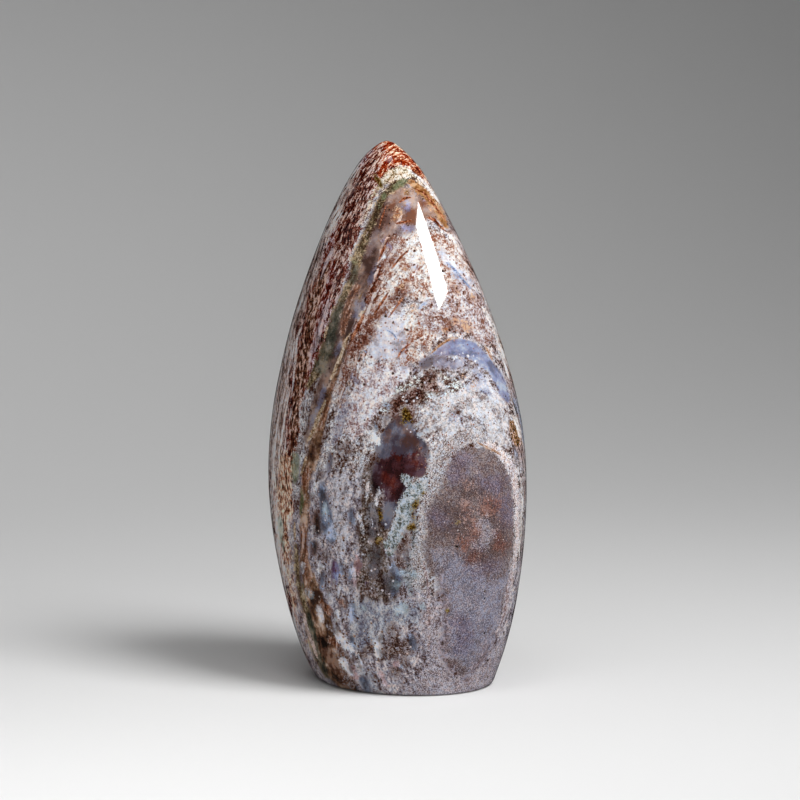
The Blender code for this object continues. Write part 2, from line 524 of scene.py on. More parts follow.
layer(
    "lower_white", "#665B5E #8A8489 #9E9BA1 #AEAAB0 #C2BFC4", lit=0.69,
    areas=[
        [(334, 470), (350, 476), (350, 506), (344, 512), (345, 528), (340, 540), (334, 536), (331, 512)],
        [(356, 470), (366, 476), (360, 500), (356, 486)],
        [(345, 512), (347, 524), (347, 542), (341, 560), (336, 548), (340, 532)],
    ],
    grain="mottle", edge="mottle", ragged=0.8, soft=0.4,
)
layer(
    "lower_blue_grey", "#57535F #737380 #878891 #9A9BA1 #B3B2B5", lit=0.69,
    areas=[
        [(352, 600), (366, 596), (384, 604), (400, 600), (424, 606), (420, 624), (396, 624), (378, 634),
         (368, 650), (354, 650), (350, 630)],
        [(360, 670), (374, 674), (380, 690), (362, 690)],
    ],
    grain="mottle", edge="mottle", ragged=1.6, soft=0.8,
)
layer(
    "bottom_pink_grey", "#584A4C #7D7277 #938A91 #A49EA5 #BAB6BE", lit=0.73,
    areas=[
        [(424, 664), (440, 670), (462, 680), (484, 668), (500, 640), (560, 640), (510, 720), (400, 720),
         (410, 690)],
        [(424, 590), (436, 596), (438, 640), (440, 664), (430, 664), (424, 640), (422, 610)],
    ],
    grain="powder", edge="blotches", ragged=1.8, soft=1.2, cover=0.85,
)

# %% [markdown]
# The bands just inside the edge of the face follow the shells up the left and over the top: an olive
# green one, a smooth grey-brown one with slate-blue windows, and rusty streaks that fray into the white.

# %% Bands up the left and over the top
layer(
    "rust_streaks", "#330F05 #5E2A18 #7B503F #9D8781 #C9BFBB", lit=0.88,
    strokes=[
        [
            (402, 226, 5), (394, 244, 6), (386, 262, 7), (379, 276, 8), (372, 290, 9), (366, 304, 9),
            (366, 318, 9), (363, 332, 9), (357, 345, 9), (352, 358, 8), (347, 374, 6), (342, 390, 5),
            (340, 404, 4),
        ],
    ],
    grain="stripes", edge="flecks", ragged=1.8, soft=0.3,
)
layer(
    "rust_tongue", "#441E15 #653A2C #7B5344 #937A74 #BCB4B0", lit=0.88,
    strokes=[
        [(406, 288, 4), (399, 295, 6), (390, 302, 5), (382, 308, 5), (376, 316, 5), (371, 328, 5)],
        [(371, 328, 5), (363, 340, 7), (352, 350, 7)], [(352, 350, 7), (348, 364, 5), (344, 378, 4)],
    ],
    grain="mottle", edge="grains", ragged=1.1, soft=0.3,
)
layer(
    "grey_brown_band", "#402D28 #564039 #655049 #755F57 #8D776D", lit=0.8,
    strokes=[
        [
            (400, 194, 6), (392, 205, 8), (385, 222, 8), (377, 240, 9), (369, 258, 8), (364, 276, 8),
            (358, 292, 8), (352, 306, 8), (347, 320, 8), (341, 336, 8), (336, 352, 6), (331, 366, 5),
            (326, 380, 6), (321, 394, 6), (316, 408, 5), (311, 424, 4), (307, 440, 3),
        ],
    ],
    shells=((48.5, 52.5),), grain="smoke", edge="mottle", ragged=0.7, soft=0.3,
)
layer(
    "mauve_crown", "#7F5340 #977262 #A68A7E #B39A92 #C5AFA3", lit=1.15,
    areas=[
        [
            (392, 188), (402, 184), (412, 190), (424, 198), (436, 205), (446, 216), (450, 228), (440, 220),
            (428, 218), (414, 224), (402, 226), (394, 236), (386, 244), (380, 236), (386, 212),
        ],
    ],
    grain="smoke", edge="mottle", ragged=1.0, soft=0.5,
)
layer(
    "mauve_shade", "#5F4945 #75605D #826E6E #8D7C7B #9B8A89", lit=1.01,
    strokes=[
        [(376, 232, 4), (372, 244, 4), (366, 256, 3)], [(390, 214, 3), (386, 228, 3)],
        [(402, 203, 4), (404, 211, 3)], [(400, 231, 4), (410, 228, 3)],
    ],
    grain="smoke", edge="mottle", ragged=1.0, soft=0.8, cover=0.8,
)
# Partly painted highlight: the last three strokes sit round the lower end of the key highlight and paint
# the soft light lilac tail of that reflection; the other strokes are lilac windows in the stone.
layer(
    "lilac_windows_and_painted_highlight_tail", "#787088 #908AA8 #A09CBE #B0ACCC #C8C4DA", lit=1.15,
    strokes=[
        [(408, 202, 2), (407, 207, 3)], [(436, 211, 2), (438, 214, 1.5)], [(384, 241, 2)], [(391, 248, 2)],
        [(404, 228, 2.5), (411, 229, 2)], [(424, 201, 1.5)], [(430, 305, 4), (440, 308, 3)],
        [(449, 310, 3), (449, 318, 2)], [(421, 312, 2), (424, 318, 2)],
    ],
    grain="smoke", edge="mottle", ragged=0.8, soft=0.6, cover=0.85,
)
layer(
    "slate_windows", "#49434F #5A5666 #686473 #747180 #87838B", lit=0.75,
    strokes=[
        [(377, 266, 2.5), (373, 274, 3.5), (369, 282, 2.5)], [(356, 302, 2), (357, 306, 2)],
        [(366, 302, 2.5), (361, 309, 3.5), (356, 317, 3.5)], [(363, 297, 1.5)],
        [(326, 388, 2), (322, 398, 2.8), (318, 408, 2.4)], [(340, 344, 3), (336, 354, 2)],
        [(318, 408, 2), (313, 418, 2.5), (310, 427, 2)], [(331, 455, 2), (329, 470, 2)],
    ],
    grain="smoke", edge="mottle", ragged=0.6, soft=0.4, cover=0.9,
)
layer(
    "olive_band", "#271D14 #463624 #5B4B35 #75634C #AD997E", lit=0.72,
    strokes=[
        [
            (409, 179, 3), (402, 181, 5), (393, 185, 4), (386, 193, 3.5), (380, 204, 4), (375, 216, 4),
            (369, 229, 4), (363, 244, 4), (357, 260, 4.5), (353, 276, 3.5), (347, 290, 3.5), (341, 304, 4),
            (335, 320, 4.5), (330, 336, 5), (326, 350, 6), (321, 364, 6), (315, 375, 5), (308, 386, 3),
        ],
        [(303, 486, 2), (303, 500, 4), (303, 516, 3)],
        [
            (296, 545, 2), (297, 562, 2.5), (299, 582, 2.5), (304, 602, 3), (309, 618, 5), (313, 632, 6),
            (317, 646, 6), (321, 659, 6), (328, 672, 5),
        ],
    ],
    shells=((52.5, 55.0),), grain="mottle", edge="mottle", ragged=0.7, soft=0.25,
)
layer(
    "green_windows", "#333824 #444A2F #545B41 #676D53 #87866B", lit=0.69,
    strokes=[
        [(405, 180, 2), (400, 183, 3), (393, 187, 2)], [(384, 195, 2.5), (383, 199, 2)], [(379, 207, 2)],
        [(303, 489, 2.4), (303, 505, 2.6), (303, 516, 1.8)], [(311, 622, 2.4), (313, 632, 2.4)],
        [(296, 455, 3), (295, 468, 4), (295, 480, 3)], [(304, 582, 2), (308, 600, 2)], [(355, 262, 2)],
    ],
    grain="smoke", edge="mottle", ragged=0.5, soft=0.4, cover=0.75,
)
layer(
    "dark_green_windows", "#161C16 #282A23 #39382F #4D493F #71685C", lit=0.62,
    strokes=[
        [(343, 302, 2), (338, 314, 3), (333, 328, 4), (329, 342, 5), (326, 356, 5), (321, 368, 5)],
        [(356, 268, 2), (352, 282, 2)],
        [(309, 614, 2.5), (314, 632, 3.5), (317, 644, 4), (322, 656, 5), (328, 668, 6), (336, 680, 4)],
    ],
    grain="smoke", edge="mottle", ragged=0.8, soft=0.4, cover=0.9,
)
layer(
    "tan_crown", "#8B552A #AA7848 #BD8C5D #CA9D71 #D9B28B", lit=1.24,
    strokes=[
        [(412, 181, 3), (419, 187, 5), (427, 195, 5), (434, 205, 5), (441, 216, 4), (447, 226, 2)],
        [(407, 191, 3)],
    ],
    grain="stripes", edge="mottle", ragged=0.8, soft=0.4,
)
layer(
    "cream_arch", "#654924 #A38C66 #CDBEA6 #E2D7C7 #EEE6DC", lit=1.08,
    strokes=[
        [
            (363, 219, 1.2), (367, 210, 1.5), (371, 200, 1.8), (376, 192, 2.4), (381, 184, 3),
            (388, 176, 5),
            (398, 172, 6), (407, 172, 5), (416, 175, 3), (424, 182, 2), (432, 191, 1.5), (439, 203, 1.3),
        ],
    ],
    grain="grains", ragged=0.6, soft=0.2,
)
layer(
    "brown_edge_band", "#2D1D16 #4C3527 #644A38 #7E614E #A79282", lit=0.62,
    strokes=[
        [
            (347, 338, 3), (343, 350, 2.5), (339, 362, 3), (336, 374, 3), (331, 386, 2.5), (328, 398, 3),
            (325, 408, 3), (323, 418, 4), (319, 430, 5), (316, 442, 6), (314, 454, 6), (310, 465, 5),
            (306, 476, 4), (305, 488, 3), (307, 500, 3), (306, 515, 3.5), (304, 530, 3), (303, 545, 3.5),
            (304, 560, 4), (308, 576, 6), (313, 592, 8), (318, 606, 9), (323, 620, 9), (326, 635, 9),
            (329, 650, 9), (334, 664, 9), (341, 676, 9), (350, 690, 6),
        ],
    ],
    shells=((47.0, 48.5),), grain="smoke", edge="mottle", ragged=0.6, soft=0.25,
)
layer(
    "dark_foot_band", "#0F0604 #24160F #382218 #4D3329 #6F5547", lit=0.58,
    strokes=[
        [(322, 640, 4), (328, 652, 6), (335, 664, 7), (343, 676, 8), (352, 688, 5)],
        [(313, 440, 3), (314, 450, 3), (312, 460, 2)], [(316, 514, 3), (317, 524, 4.5), (318, 532, 3)],
        [(314, 545, 4), (314, 552, 3)], [(337, 365, 2), (333, 376, 2)], [(320, 336, 2), (320, 342, 2)],
    ],
    grain="smoke", edge="mottle", ragged=0.8, soft=0.5, cover=0.92,
)
layer(
    "red_brown_streaks", "#341B11 #573220 #714631 #876350 #A99287", lit=0.62,
    strokes=[
        [(308, 470, 3), (304, 482, 2.5), (304, 494, 1.5)],
        [(304, 524, 2), (303, 540, 2.5), (304, 556, 2.5)],
        [(306, 566, 2.5), (309, 578, 3)], [(309, 512, 1.5), (309, 524, 1.5)],
        [(328, 402, 1.6), (324, 416, 1.6), (319, 430, 1.8)], [(334, 380, 1.5), (330, 392, 1.5)],
        [(333, 640, 3), (340, 652, 3), (346, 660, 2)], [(322, 604, 3), (330, 612, 3)],
        [(340, 602, 3), (346, 606, 2)],
        [(357, 286, 2), (350, 302, 3), (345, 318, 3.5), (341, 332, 2.5)],
    ],
    grain="stripes", edge="mottle", ragged=0.6, soft=0.4, cover=0.85,
)

# %% [markdown]
# Over the eye the shells close into an arch: a rusty speckled zone, a pale blue chalcedony arch with a
# row of white grains under it, a dark brown broken arch, and a bright ring of white grains.

# %% The arches over the eye
layer(
    "speckled_zone", "#774C39 #A7867C #B8AAAF #CBC2C4 #E9E8E9", lit=1.15,
    areas=[
        [
            (446, 286), (458, 284), (474, 288), (484, 298), (490, 316), (495, 334), (490, 348), (474, 338),
            (458, 330), (444, 332), (430, 334), (416, 324), (420, 310), (432, 302), (444, 304),
        ],
    ],
    grain="grains", edge="mottle", ragged=1.4, soft=0.4,
)
layer(
    "right_bands", "#704C3B #A4877E #C6B9B5 #E9E5E1 #FFFFFF", lit=0.91,
    areas=[
        [
            (446, 232), (458, 250), (476, 284), (488, 310), (500, 350), (512, 400), (520, 450), (530, 450),
            (530, 380), (500, 280), (460, 226),
        ],
    ],
    grain="stripes", edge="mottle", ragged=0.8, soft=0.5,
)
layer(
    "brown_arch", "#2F150C #57382B #7A645D #A4A19F #E4EFF5", lit=1.01,
    areas=[
        [
            (384, 404), (394, 398), (400, 388), (412, 384), (420, 374), (436, 370), (448, 378), (460, 384),
            (466, 390), (456, 398), (442, 392), (430, 398), (424, 408), (414, 408), (416, 428), (404, 432),
            (394, 420), (386, 414),
        ],
    ],
    grain="grains", edge="grains", ragged=1.2, soft=0.25,
)
layer(
    "brown_clumps", "#210F0A #402118 #5D3930 #7A5B52 #A59795", lit=1.02,
    strokes=[
        [(394, 403, 4), (402, 400, 5), (410, 398, 6), (418, 394, 5)], [(426, 386, 3), (436, 387, 4)],
        [(396, 411, 3), (394, 420, 3)], [(410, 418, 3), (412, 404, 3)],
        [(424, 376, 3), (434, 374, 3)], [(404, 294, 2), (397, 298, 3.5)], [(411, 293, 2.5)],
        [(399, 313, 2.5)], [(423, 347, 2.5)], [(413, 347, 2), (418, 349, 2)],
        [(450, 322, 2.5), (453, 328, 2)],
        [(428, 354, 2)], [(398, 358, 1.5)],
        [(372, 337, 2)], [(375, 460, 3), (374, 466, 3)],
    ],
    grain="grains", edge="grains", ragged=1.1, soft=0.25,
)
layer(
    "white_ring", "#897A78 #B1AEB2 #C9C7CB #D8D7DB #E8E7EB", lit=1.07,
    strokes=[
        [
            (421, 432, 6), (428, 420, 8), (440, 410, 11), (456, 404, 13), (474, 404, 15), (490, 410, 14),
            (499, 426, 11), (505, 442, 6),
        ],
        [(446, 374, 4), (456, 376, 3)], [(439, 376, 3), (442, 386, 3)], [(450, 409, 4), (458, 412, 4)],
        [(482, 421, 5), (489, 430, 4)], [(440, 426, 8), (456, 428, 7), (474, 430, 7), (488, 436, 6)],
    ],
    grain="mottle", edge="blotches", ragged=1.6, soft=0.6,
)
layer(
    "blue_arch", "#6C6F87 #8085A4 #9096B6 #9FA7C3 #B8C1D0", lit=1.12,
    strokes=[
        [
            (433, 353, 2), (440, 350, 5), (449, 347, 7), (460, 347, 8), (470, 350, 8), (479, 357, 7),
            (487, 364, 5), (495, 373, 5), (501, 384, 5), (504, 393, 4), (508, 401, 2.5),
        ],
    ],
    shells=((36.5, 38.5),), grain="smoke", edge="mottle", ragged=0.35, soft=0.3,
)
layer(
    "pink_in_arch", "#7C728B #8D849D #9B94AC #A8A6B9 #BABBC7", lit=1.13,
    strokes=[[(440, 350, 3), (447, 344, 3), (445, 352, 4)], [(455, 342, 2)]],
    grain="smoke", edge="mottle", ragged=0.6, soft=1.2, cover=0.7,
)
layer(
    "arch_shadow", "#726970 #857E8C #948F9F #A4A0B0 #BBB8C6", lit=1.1,
    strokes=[[(424, 364, 5), (434, 361, 5), (446, 363, 6), (458, 364, 5), (466, 364, 4)], [(416, 370, 3)]],
    grain="smoke", edge="mottle", ragged=0.9, soft=0.4,
)
layer(
    "slate_edge", "#3D4044 #52575D #6C727E #878FA8 #ADB3C6", lit=0.83,
    strokes=[
        [(513, 390, 2), (516, 402, 3), (518, 412, 2)], [(520, 418, 2), (523, 432, 2), (524, 444, 1.5)],
        [(515, 450, 2), (518, 460, 1.5)],
    ],
    grain="stripes", edge="mottle", ragged=0.5, soft=0.4, cover=0.9,
)
layer(
    "brown_rim", "#45312D #644E4C #806D68 #9D8D8D #BBB0B0", lit=0.78,
    strokes=[
        [(452, 222, 2), (462, 246, 3), (474, 270, 3), (485, 294, 3)],
        [(504, 366, 1.5), (511, 384, 2), (515, 396, 2)], [(516, 436, 3), (521, 450, 4), (526, 466, 3)],
        [(524, 480, 1.5), (525, 500, 1.5)], [(521, 520, 1.2), (521, 550, 1.2)],
    ],
    grain="stripes", edge="mottle", ragged=0.6, soft=0.6, cover=0.85,
)

# %% [markdown]
# Left of the eye a dark hollow was filled last: slate-blue chalcedony above, deep maroon below, and
# slate again at its foot. A tongue of pale blue-green runs down beside it.

# %% The dark hollow and the tongue
layer(
    "brown_middle", "#27150F #402F27 #584B44 #726964 #A69EA0", lit=0.74,
    areas=[
        [
            (374, 458), (384, 500), (392, 530), (384, 545), (388, 556), (394, 566), (400, 590), (394, 600),
            (376, 602), (360, 598), (356, 580), (361, 560), (357, 540), (357, 515), (362, 500), (360, 480),
        ],
    ],
    grain="mottle", edge="grains", ragged=1.2, soft=0.4,
)
layer(
    "grey_in_middle", "#444145 #544F55 #5F595F #6A656A #79767B", lit=0.75,
    strokes=[
        [(372, 508, 4), (374, 520, 5), (372, 532, 5)], [(376, 552, 4), (374, 574, 5)],
        [(386, 580, 5), (392, 592, 5)], [(408, 552, 4), (407, 562, 4)], [(396, 570, 6), (404, 576, 4)],
    ],
    grain="smoke", edge="mottle", ragged=1.2, soft=0.8, cover=0.85,
)
layer(
    "slate_hollow", "#40363F #4B4650 #53505C #5F5D6B #74737E", lit=0.89,
    areas=[
        [
            (392, 421), (400, 416), (408, 420), (416, 430), (420, 438), (428, 446), (430, 456), (420, 464),
            (400, 460), (384, 462), (376, 458), (376, 447), (381, 437), (386, 427),
        ],
    ],
    strokes=[[(407, 484, 4), (400, 492, 5), (393, 503, 7), (387, 513, 7), (385, 523, 5)]],
    grain="smoke", edge="mottle", ragged=0.7, soft=0.3,
)
layer(
    "brown_in_hollow", "#4B3128 #593D33 #62463D #6A5047 #795F56", lit=0.94,
    strokes=[
        [(396, 419, 3), (410, 436, 3), (414, 444, 3)], [(404, 438, 2), (408, 446, 3)],
        [(420, 452, 3), (424, 462, 3)], [(390, 432, 2), (386, 440, 1.5)],
    ],
    grain="smoke", edge="mottle", ragged=0.9, soft=0.8, cover=0.75,
)
layer(
    "maroon_hollow", "#2A1314 #3A1F22 #43272B #492F37 #5A444D", lit=0.87,
    areas=[
        [
            (378, 460), (386, 458), (392, 452), (404, 455), (416, 451), (424, 455), (428, 466), (424, 477),
            (414, 477), (408, 482), (401, 494), (396, 502), (386, 503), (379, 499), (374, 490), (373, 474),
        ],
    ],
    grain="smoke", edge="mottle", ragged=0.8, soft=0.3,
)
layer(
    "red_in_maroon", "#42140D #572016 #662F25 #76483E #8C6C64", lit=0.88,
    strokes=[
        [(393, 455, 2.5), (400, 459, 2)], [(413, 457, 3)], [(384, 476, 2.5), (392, 484, 3)],
        [(392, 490, 2.5)], [(416, 466, 2)],
    ],
    grain="smoke", edge="mottle", ragged=1.0, soft=1.0, cover=0.7,
)
layer(
    "black_in_maroon", "#0E0506 #190C0E #261519 #332328 #483A43", lit=0.84,
    strokes=[
        [(376, 462, 3), (376, 480, 4), (376, 496, 3)], [(393, 456, 1.5)], [(413, 458, 1.5)],
        [(390, 500, 2.5)], [(420, 470, 2)], [(424, 458, 1.5)], [(426, 450, 2)],
    ],
    grain="smoke", edge="mottle", ragged=0.9, soft=0.8, cover=0.75,
)
layer(
    "blue_green_tongue", "#53534B #828B8B #989FA3 #A7AFB7 #C0C4CB", lit=0.85,
    areas=[
        [
            (432, 473), (421, 478), (411, 483), (404, 492), (399, 504), (395, 514), (391, 528), (387, 538),
            (382, 544), (384, 553), (390, 559), (396, 552), (400, 544), (405, 536), (406, 528), (410, 518),
            (416, 508), (422, 500), (428, 490),
        ],
        [(399, 476), (408, 474), (414, 479), (408, 484), (402, 484)],
    ],
    grain="grains", edge="mottle", ragged=0.5, soft=0.2,
)
layer(
    "tongue_beside", "#4C4949 #6A6C6F #7E8288 #8F9197 #A5A8AF", lit=0.82,
    areas=[
        [(412, 510), (418, 514), (420, 528), (420, 550), (414, 562), (410, 556), (411, 540), (410, 526)],
        [(404, 562), (412, 560), (416, 580), (408, 592), (402, 580)],
    ],
    grain="grains", edge="mottle", ragged=0.9, soft=0.4,
)

# %% [markdown]
# The eye is the quiet part of the stone: fine-grained purple-grey chalcedony, violet above, rosy in the
# middle and lavender-grey below, inside a thin white rim.

# %% The eye and its rim
layer(
    "pale_collar", "#695654 #8B817F #A29C9F #B7B3B6 #D1D0D3", lit=0.93,
    strokes=[
        [
            (490, 440, 4), (470, 436, 6), (452, 444, 7), (442, 457, 7), (437, 470, 7), (434, 486, 7),
            (429, 500, 6), (425, 516, 4), (422, 534, 4), (419, 550, 5), (418, 566, 6), (422, 584, 8),
        ],
    ],
    grain="powder", edge="powder", ragged=0.9, soft=0.4,
)
layer(
    "eye", "#564547 #675857 #746767 #817577 #948A8A", lit=0.91,
    areas=[
        [
            (475, 447), (463, 449), (453, 457), (446, 469), (441, 486), (433, 500), (429, 515), (427, 532),
            (425, 548), (427, 566), (438, 580), (446, 602), (448, 622), (446, 640), (443, 655), (448, 668),
            (464, 676), (476, 670), (486, 656), (493, 638), (500, 616), (505, 598), (509, 578), (512, 556),
            (513, 530), (513, 500), (511, 478), (505, 462), (495, 451), (485, 447),
        ],
    ],
    shells=((-10.0, 16.0),), grain="powder", edge="grains", ragged=1.0, soft=0.6,
)
layer(
    "eye_foot", "#5F5A63 #76717E #817F8D #8B8997 #9F9DAA", lit=0.85,
    areas=[
        [
            (436, 556), (460, 552), (480, 574), (508, 572), (504, 600), (500, 620), (486, 650), (470, 668),
            (452, 660), (446, 640), (450, 620), (446, 590),
        ],
    ],
    grain="powder", edge="blotches", ragged=2.5, soft=2.5, cover=0.9,
)
layer(
    "eye_violet", "#4F4350 #5E5261 #685C6C #736979 #897E90", lit=0.92,
    strokes=[
        [(460, 462, 7), (456, 476, 4)], [(484, 484, 6), (500, 486, 7)], [(503, 503, 6), (505, 520, 5)],
        [(434, 516, 6), (444, 522, 6)], [(490, 565, 8), (474, 572, 4)], [(462, 624, 8), (462, 644, 8)],
    ],
    grain="powder", edge="blotches", ragged=2.0, soft=2.5, cover=0.75,
)
layer(
    "eye_umber", "#3E2D2A #4B3936 #51403D #574746 #655554", lit=0.94,
    strokes=[
        [(444, 506, 3), (456, 512, 7), (464, 522, 6)], [(448, 530, 6), (462, 534, 6)],
        [(466, 492, 6), (482, 494, 4)], [(490, 508, 6), (494, 524, 5)],
        [(500, 532, 6), (500, 546, 6), (488, 556, 7), (474, 556, 6)],
    ],
    grain="powder", edge="blotches", ragged=1.8, soft=2.2, cover=0.75,
)
layer(
    "eye_rose", "#613C34 #775147 #896459 #98756D #A98F88", lit=0.96,
    strokes=[
        [(466, 504, 3), (467, 516, 3)], [(474, 522, 4), (476, 532, 6), (474, 538, 5)],
        [(462, 541, 4), (468, 545, 4)], [(486, 504, 5), (483, 514, 4)], [(496, 500, 3), (492, 510, 3)],
        [(468, 484, 2)], [(494, 532, 2)],
    ],
    grain="grains", edge="grains", ragged=1.8, soft=1.0, cover=0.85,
)
layer(
    "eye_rust", "#53291F #643A2E #724639 #7F564A #916E67", lit=0.93,
    strokes=[
        [(491, 502, 3), (496, 508, 3)], [(498, 534, 3), (499, 546, 4)], [(503, 545, 2.5)],
        [(464, 542, 3), (464, 549, 2)], [(478, 553, 3), (470, 560, 3)],
    ],
    grain="powder", edge="grains", ragged=1.6, soft=1.4, cover=0.7,
)
layer(
    "eye_pale_grain", "#665A61 #7C7281 #8F8894 #A09BA3 #B6B2B8", lit=0.9,
    strokes=[
        [(482, 522, 4), (488, 532, 5), (484, 542, 4)], [(474, 545, 2.5), (482, 547, 2.5)],
        [(443, 564, 2)], [(475, 570, 2)], [(466, 606, 3)], [(449, 632, 5), (454, 640, 4)],
    ],
    grain="powder", edge="grains", ragged=1.6, soft=0.8, cover=0.6,
)
layer(
    "eye_edge_brown", "#3C2B29 #554242 #6B5A5C #82757C #A39BA5", lit=0.81,
    strokes=[
        [(442, 592, 2), (446, 606, 3), (447, 614, 3)], [(444, 622, 3), (447, 634, 3), (443, 646, 3)],
        [(443, 652, 2), (447, 664, 2.5), (454, 670, 2)], [(486, 646, 2), (482, 658, 2), (474, 668, 2.5)],
        [(466, 680, 2)], [(440, 580, 2), (436, 596, 2)], [(494, 634, 1.5)],
    ],
    grain="grains", edge="grains", ragged=1.4, soft=0.5, cover=0.8,
)
layer(
    "white_rim", "#8E7C78 #B4A4A4 #CCC0C2 #DCD4D8 #EEEAEE", lit=0.85,
    strokes=[
        [
            (487, 442, 3), (497, 450, 4), (506, 458, 4.5), (513, 470, 3.5), (516, 486, 3), (517, 506, 3),
            (517, 530, 2.6), (516, 550, 2.4), (514, 566, 2), (511, 582, 1.8), (508, 596, 1.5),
            (505, 610, 1.3),
            (501, 622, 1.2),
        ],
    ],
    shells=((16.0, 18.0),), grain="powder", edge="grains", ragged=0.5, soft=0.3,
)

# %% [markdown]
# The last patches are small ones: olive-gold spots, blue slate windows in the lower left, dark patches
# and a few bars and drops of clean white quartz.

# %% Small patches
layer(
    "olive_spots", "#1F1102 #3C2603 #523806 #674E14 #96845C", lit=0.91,
    strokes=[
        [(405, 411, 3), (407, 418, 4.5), (404, 422, 3)], [(413, 423, 2)], [(487, 374, 2)],
        [(496, 381, 1.8)], [(414, 507, 3.5), (418, 502, 3)], [(410, 508, 2.5)], [(413, 519, 2.6)],
        [(409, 528, 3.4), (415, 526, 2)], [(472, 443, 2)], [(447, 612, 2.6)],
        [(380, 511, 3), (381, 519, 2)], [(378, 541, 4)], [(457, 523, 2.6)], [(423, 493, 2)],
        [(402, 258, 1.5)], [(381, 185, 2), (376, 178, 2)],
    ],
    grain="grains", edge="grains", ragged=0.4, soft=0.2,
)
layer(
    "gold_spots", "#422302 #653E04 #875B0A #A88043 #DAC7CB", lit=1.,
    strokes=[
        [(512, 424, 3.5), (515, 433, 5), (518, 443, 4)], [(424, 295, 2.5)], [(417, 331, 1.8)],
        [(432, 316, 2)], [(407, 192, 2.5)],
    ],
    grain="grains", edge="grains", ragged=0.4, soft=0.25, cover=0.95,
)
layer(
    "orange_grains", "#74310F #934C22 #AC6B3D #C38D63 #DDBB9C", lit=1.15,
    strokes=[
        [(406, 270, 2.5)], [(457, 289, 3)], [(473, 299, 2.5)], [(456, 320, 3)], [(446, 330, 3)],
        [(421, 262, 2)], [(465, 325, 3)], [(413, 308, 2)], [(403, 285, 2)], [(470, 330, 2.5)],
        [(398, 212, 3), (395, 220, 2)], [(474, 384, 2)], [(464, 376, 1.8)], [(432, 210, 1.8)],
    ],
    grain="grains", edge="grains", ragged=0.9, soft=0.25,
)
layer(
    "brown_patches", "#22100B #3B2319 #4E362D #645551 #898183", lit=0.68,
    strokes=[
        [(407, 536, 3.5)], [(404, 545, 4.5), (399, 553, 3.5)], [(404, 565, 4), (397, 563, 4)],
        [(392, 630, 5), (396, 642, 7), (391, 652, 8), (381, 658, 4)], [(404, 650, 7), (412, 640, 6)],
        [(405, 664, 4), (394, 672, 4)], [(362, 655, 4), (370, 650, 3)], [(344, 606, 4)],
        [(325, 555, 4)], [(312, 498, 3), (322, 488, 3)], [(332, 574, 2)], [(367, 590, 5), (374, 594, 4)],
        [(331, 626, 3)], [(352, 684, 4), (340, 650, 3)], [(375, 676, 3)], [(352, 662, 2)],
        [(340, 448, 3), (350, 450, 2)], [(319, 468, 3), (321, 476, 2)], [(364, 482, 3), (366, 490, 2)],
        [(381, 498, 3), (380, 506, 2)],
    ],
    grain="grains", edge="grains", ragged=1.2, soft=0.3,
)
layer(
    "slate_patches", "#363740 #4E5262 #626A7A #77839A #A8B1C5", lit=0.67,
    strokes=[
        [(322, 486, 3), (323, 498, 4), (325, 512, 5), (328, 526, 6), (331, 538, 5)],
        [(351, 511, 3), (352, 524, 2)],
        [(353, 566, 2), (352, 582, 2.5)], [(364, 680, 4), (368, 689, 3)],
        [(351, 638, 2), (354, 656, 2)], [(352, 606, 3), (352, 618, 3)], [(322, 570, 2), (322, 588, 2)],
        [(394, 566, 3), (398, 578, 4), (394, 592, 4)], [(312, 544, 1.5)],
        [(342, 564, 1.5), (343, 574, 1.5)], [(411, 636, 3), (414, 646, 4)], [(400, 666, 2)],
    ],
    grain="smoke", edge="mottle", ragged=0.6, soft=0.4, cover=0.9,
)
layer(
    "teal_patches", "#616A71 #7A878C #8E9CA5 #A0AEB9 #B9C5CD", lit=0.74,
    strokes=[
        [(398, 586, 4), (394, 584, 3)], [(402, 572, 3)], [(325, 504, 1.6), (325, 514, 1.6)],
        [(404, 608, 5), (398, 612, 4)], [(414, 574, 4)], [(411, 592, 3)], [(424, 606, 3)],
        [(370, 556, 1.6)], [(363, 608, 3)], [(308, 590, 1.5), (310, 596, 1.8)],
    ],
    grain="smoke", edge="mottle", ragged=0.8, soft=0.5, cover=0.8,
)
layer(
    "purple_spot", "#442C42 #5E4F6B #6C6D89 #797F9B #9399B3", lit=0.65,
    strokes=[[(335, 561, 2), (336, 572, 4.5), (334, 584, 3)], [(367, 584, 2)]],
    grain="smoke", edge="mottle", ragged=0.5, soft=0.3,
)
layer(
    "pink_streak", "#6E5154 #8D7072 #A38C8E #B7A3A8 #CCBEC4", lit=0.66,
    strokes=[
        [(358, 556, 1.8), (357, 570, 3), (355, 583, 2.4)], [(351, 670, 4), (355, 677, 3)],
        [(381, 674, 2), (385, 684, 2)], [(396, 664, 3)], [(359, 566, 3)],
    ],
    grain="smoke", edge="mottle", ragged=0.6, soft=0.4, cover=0.9,
)
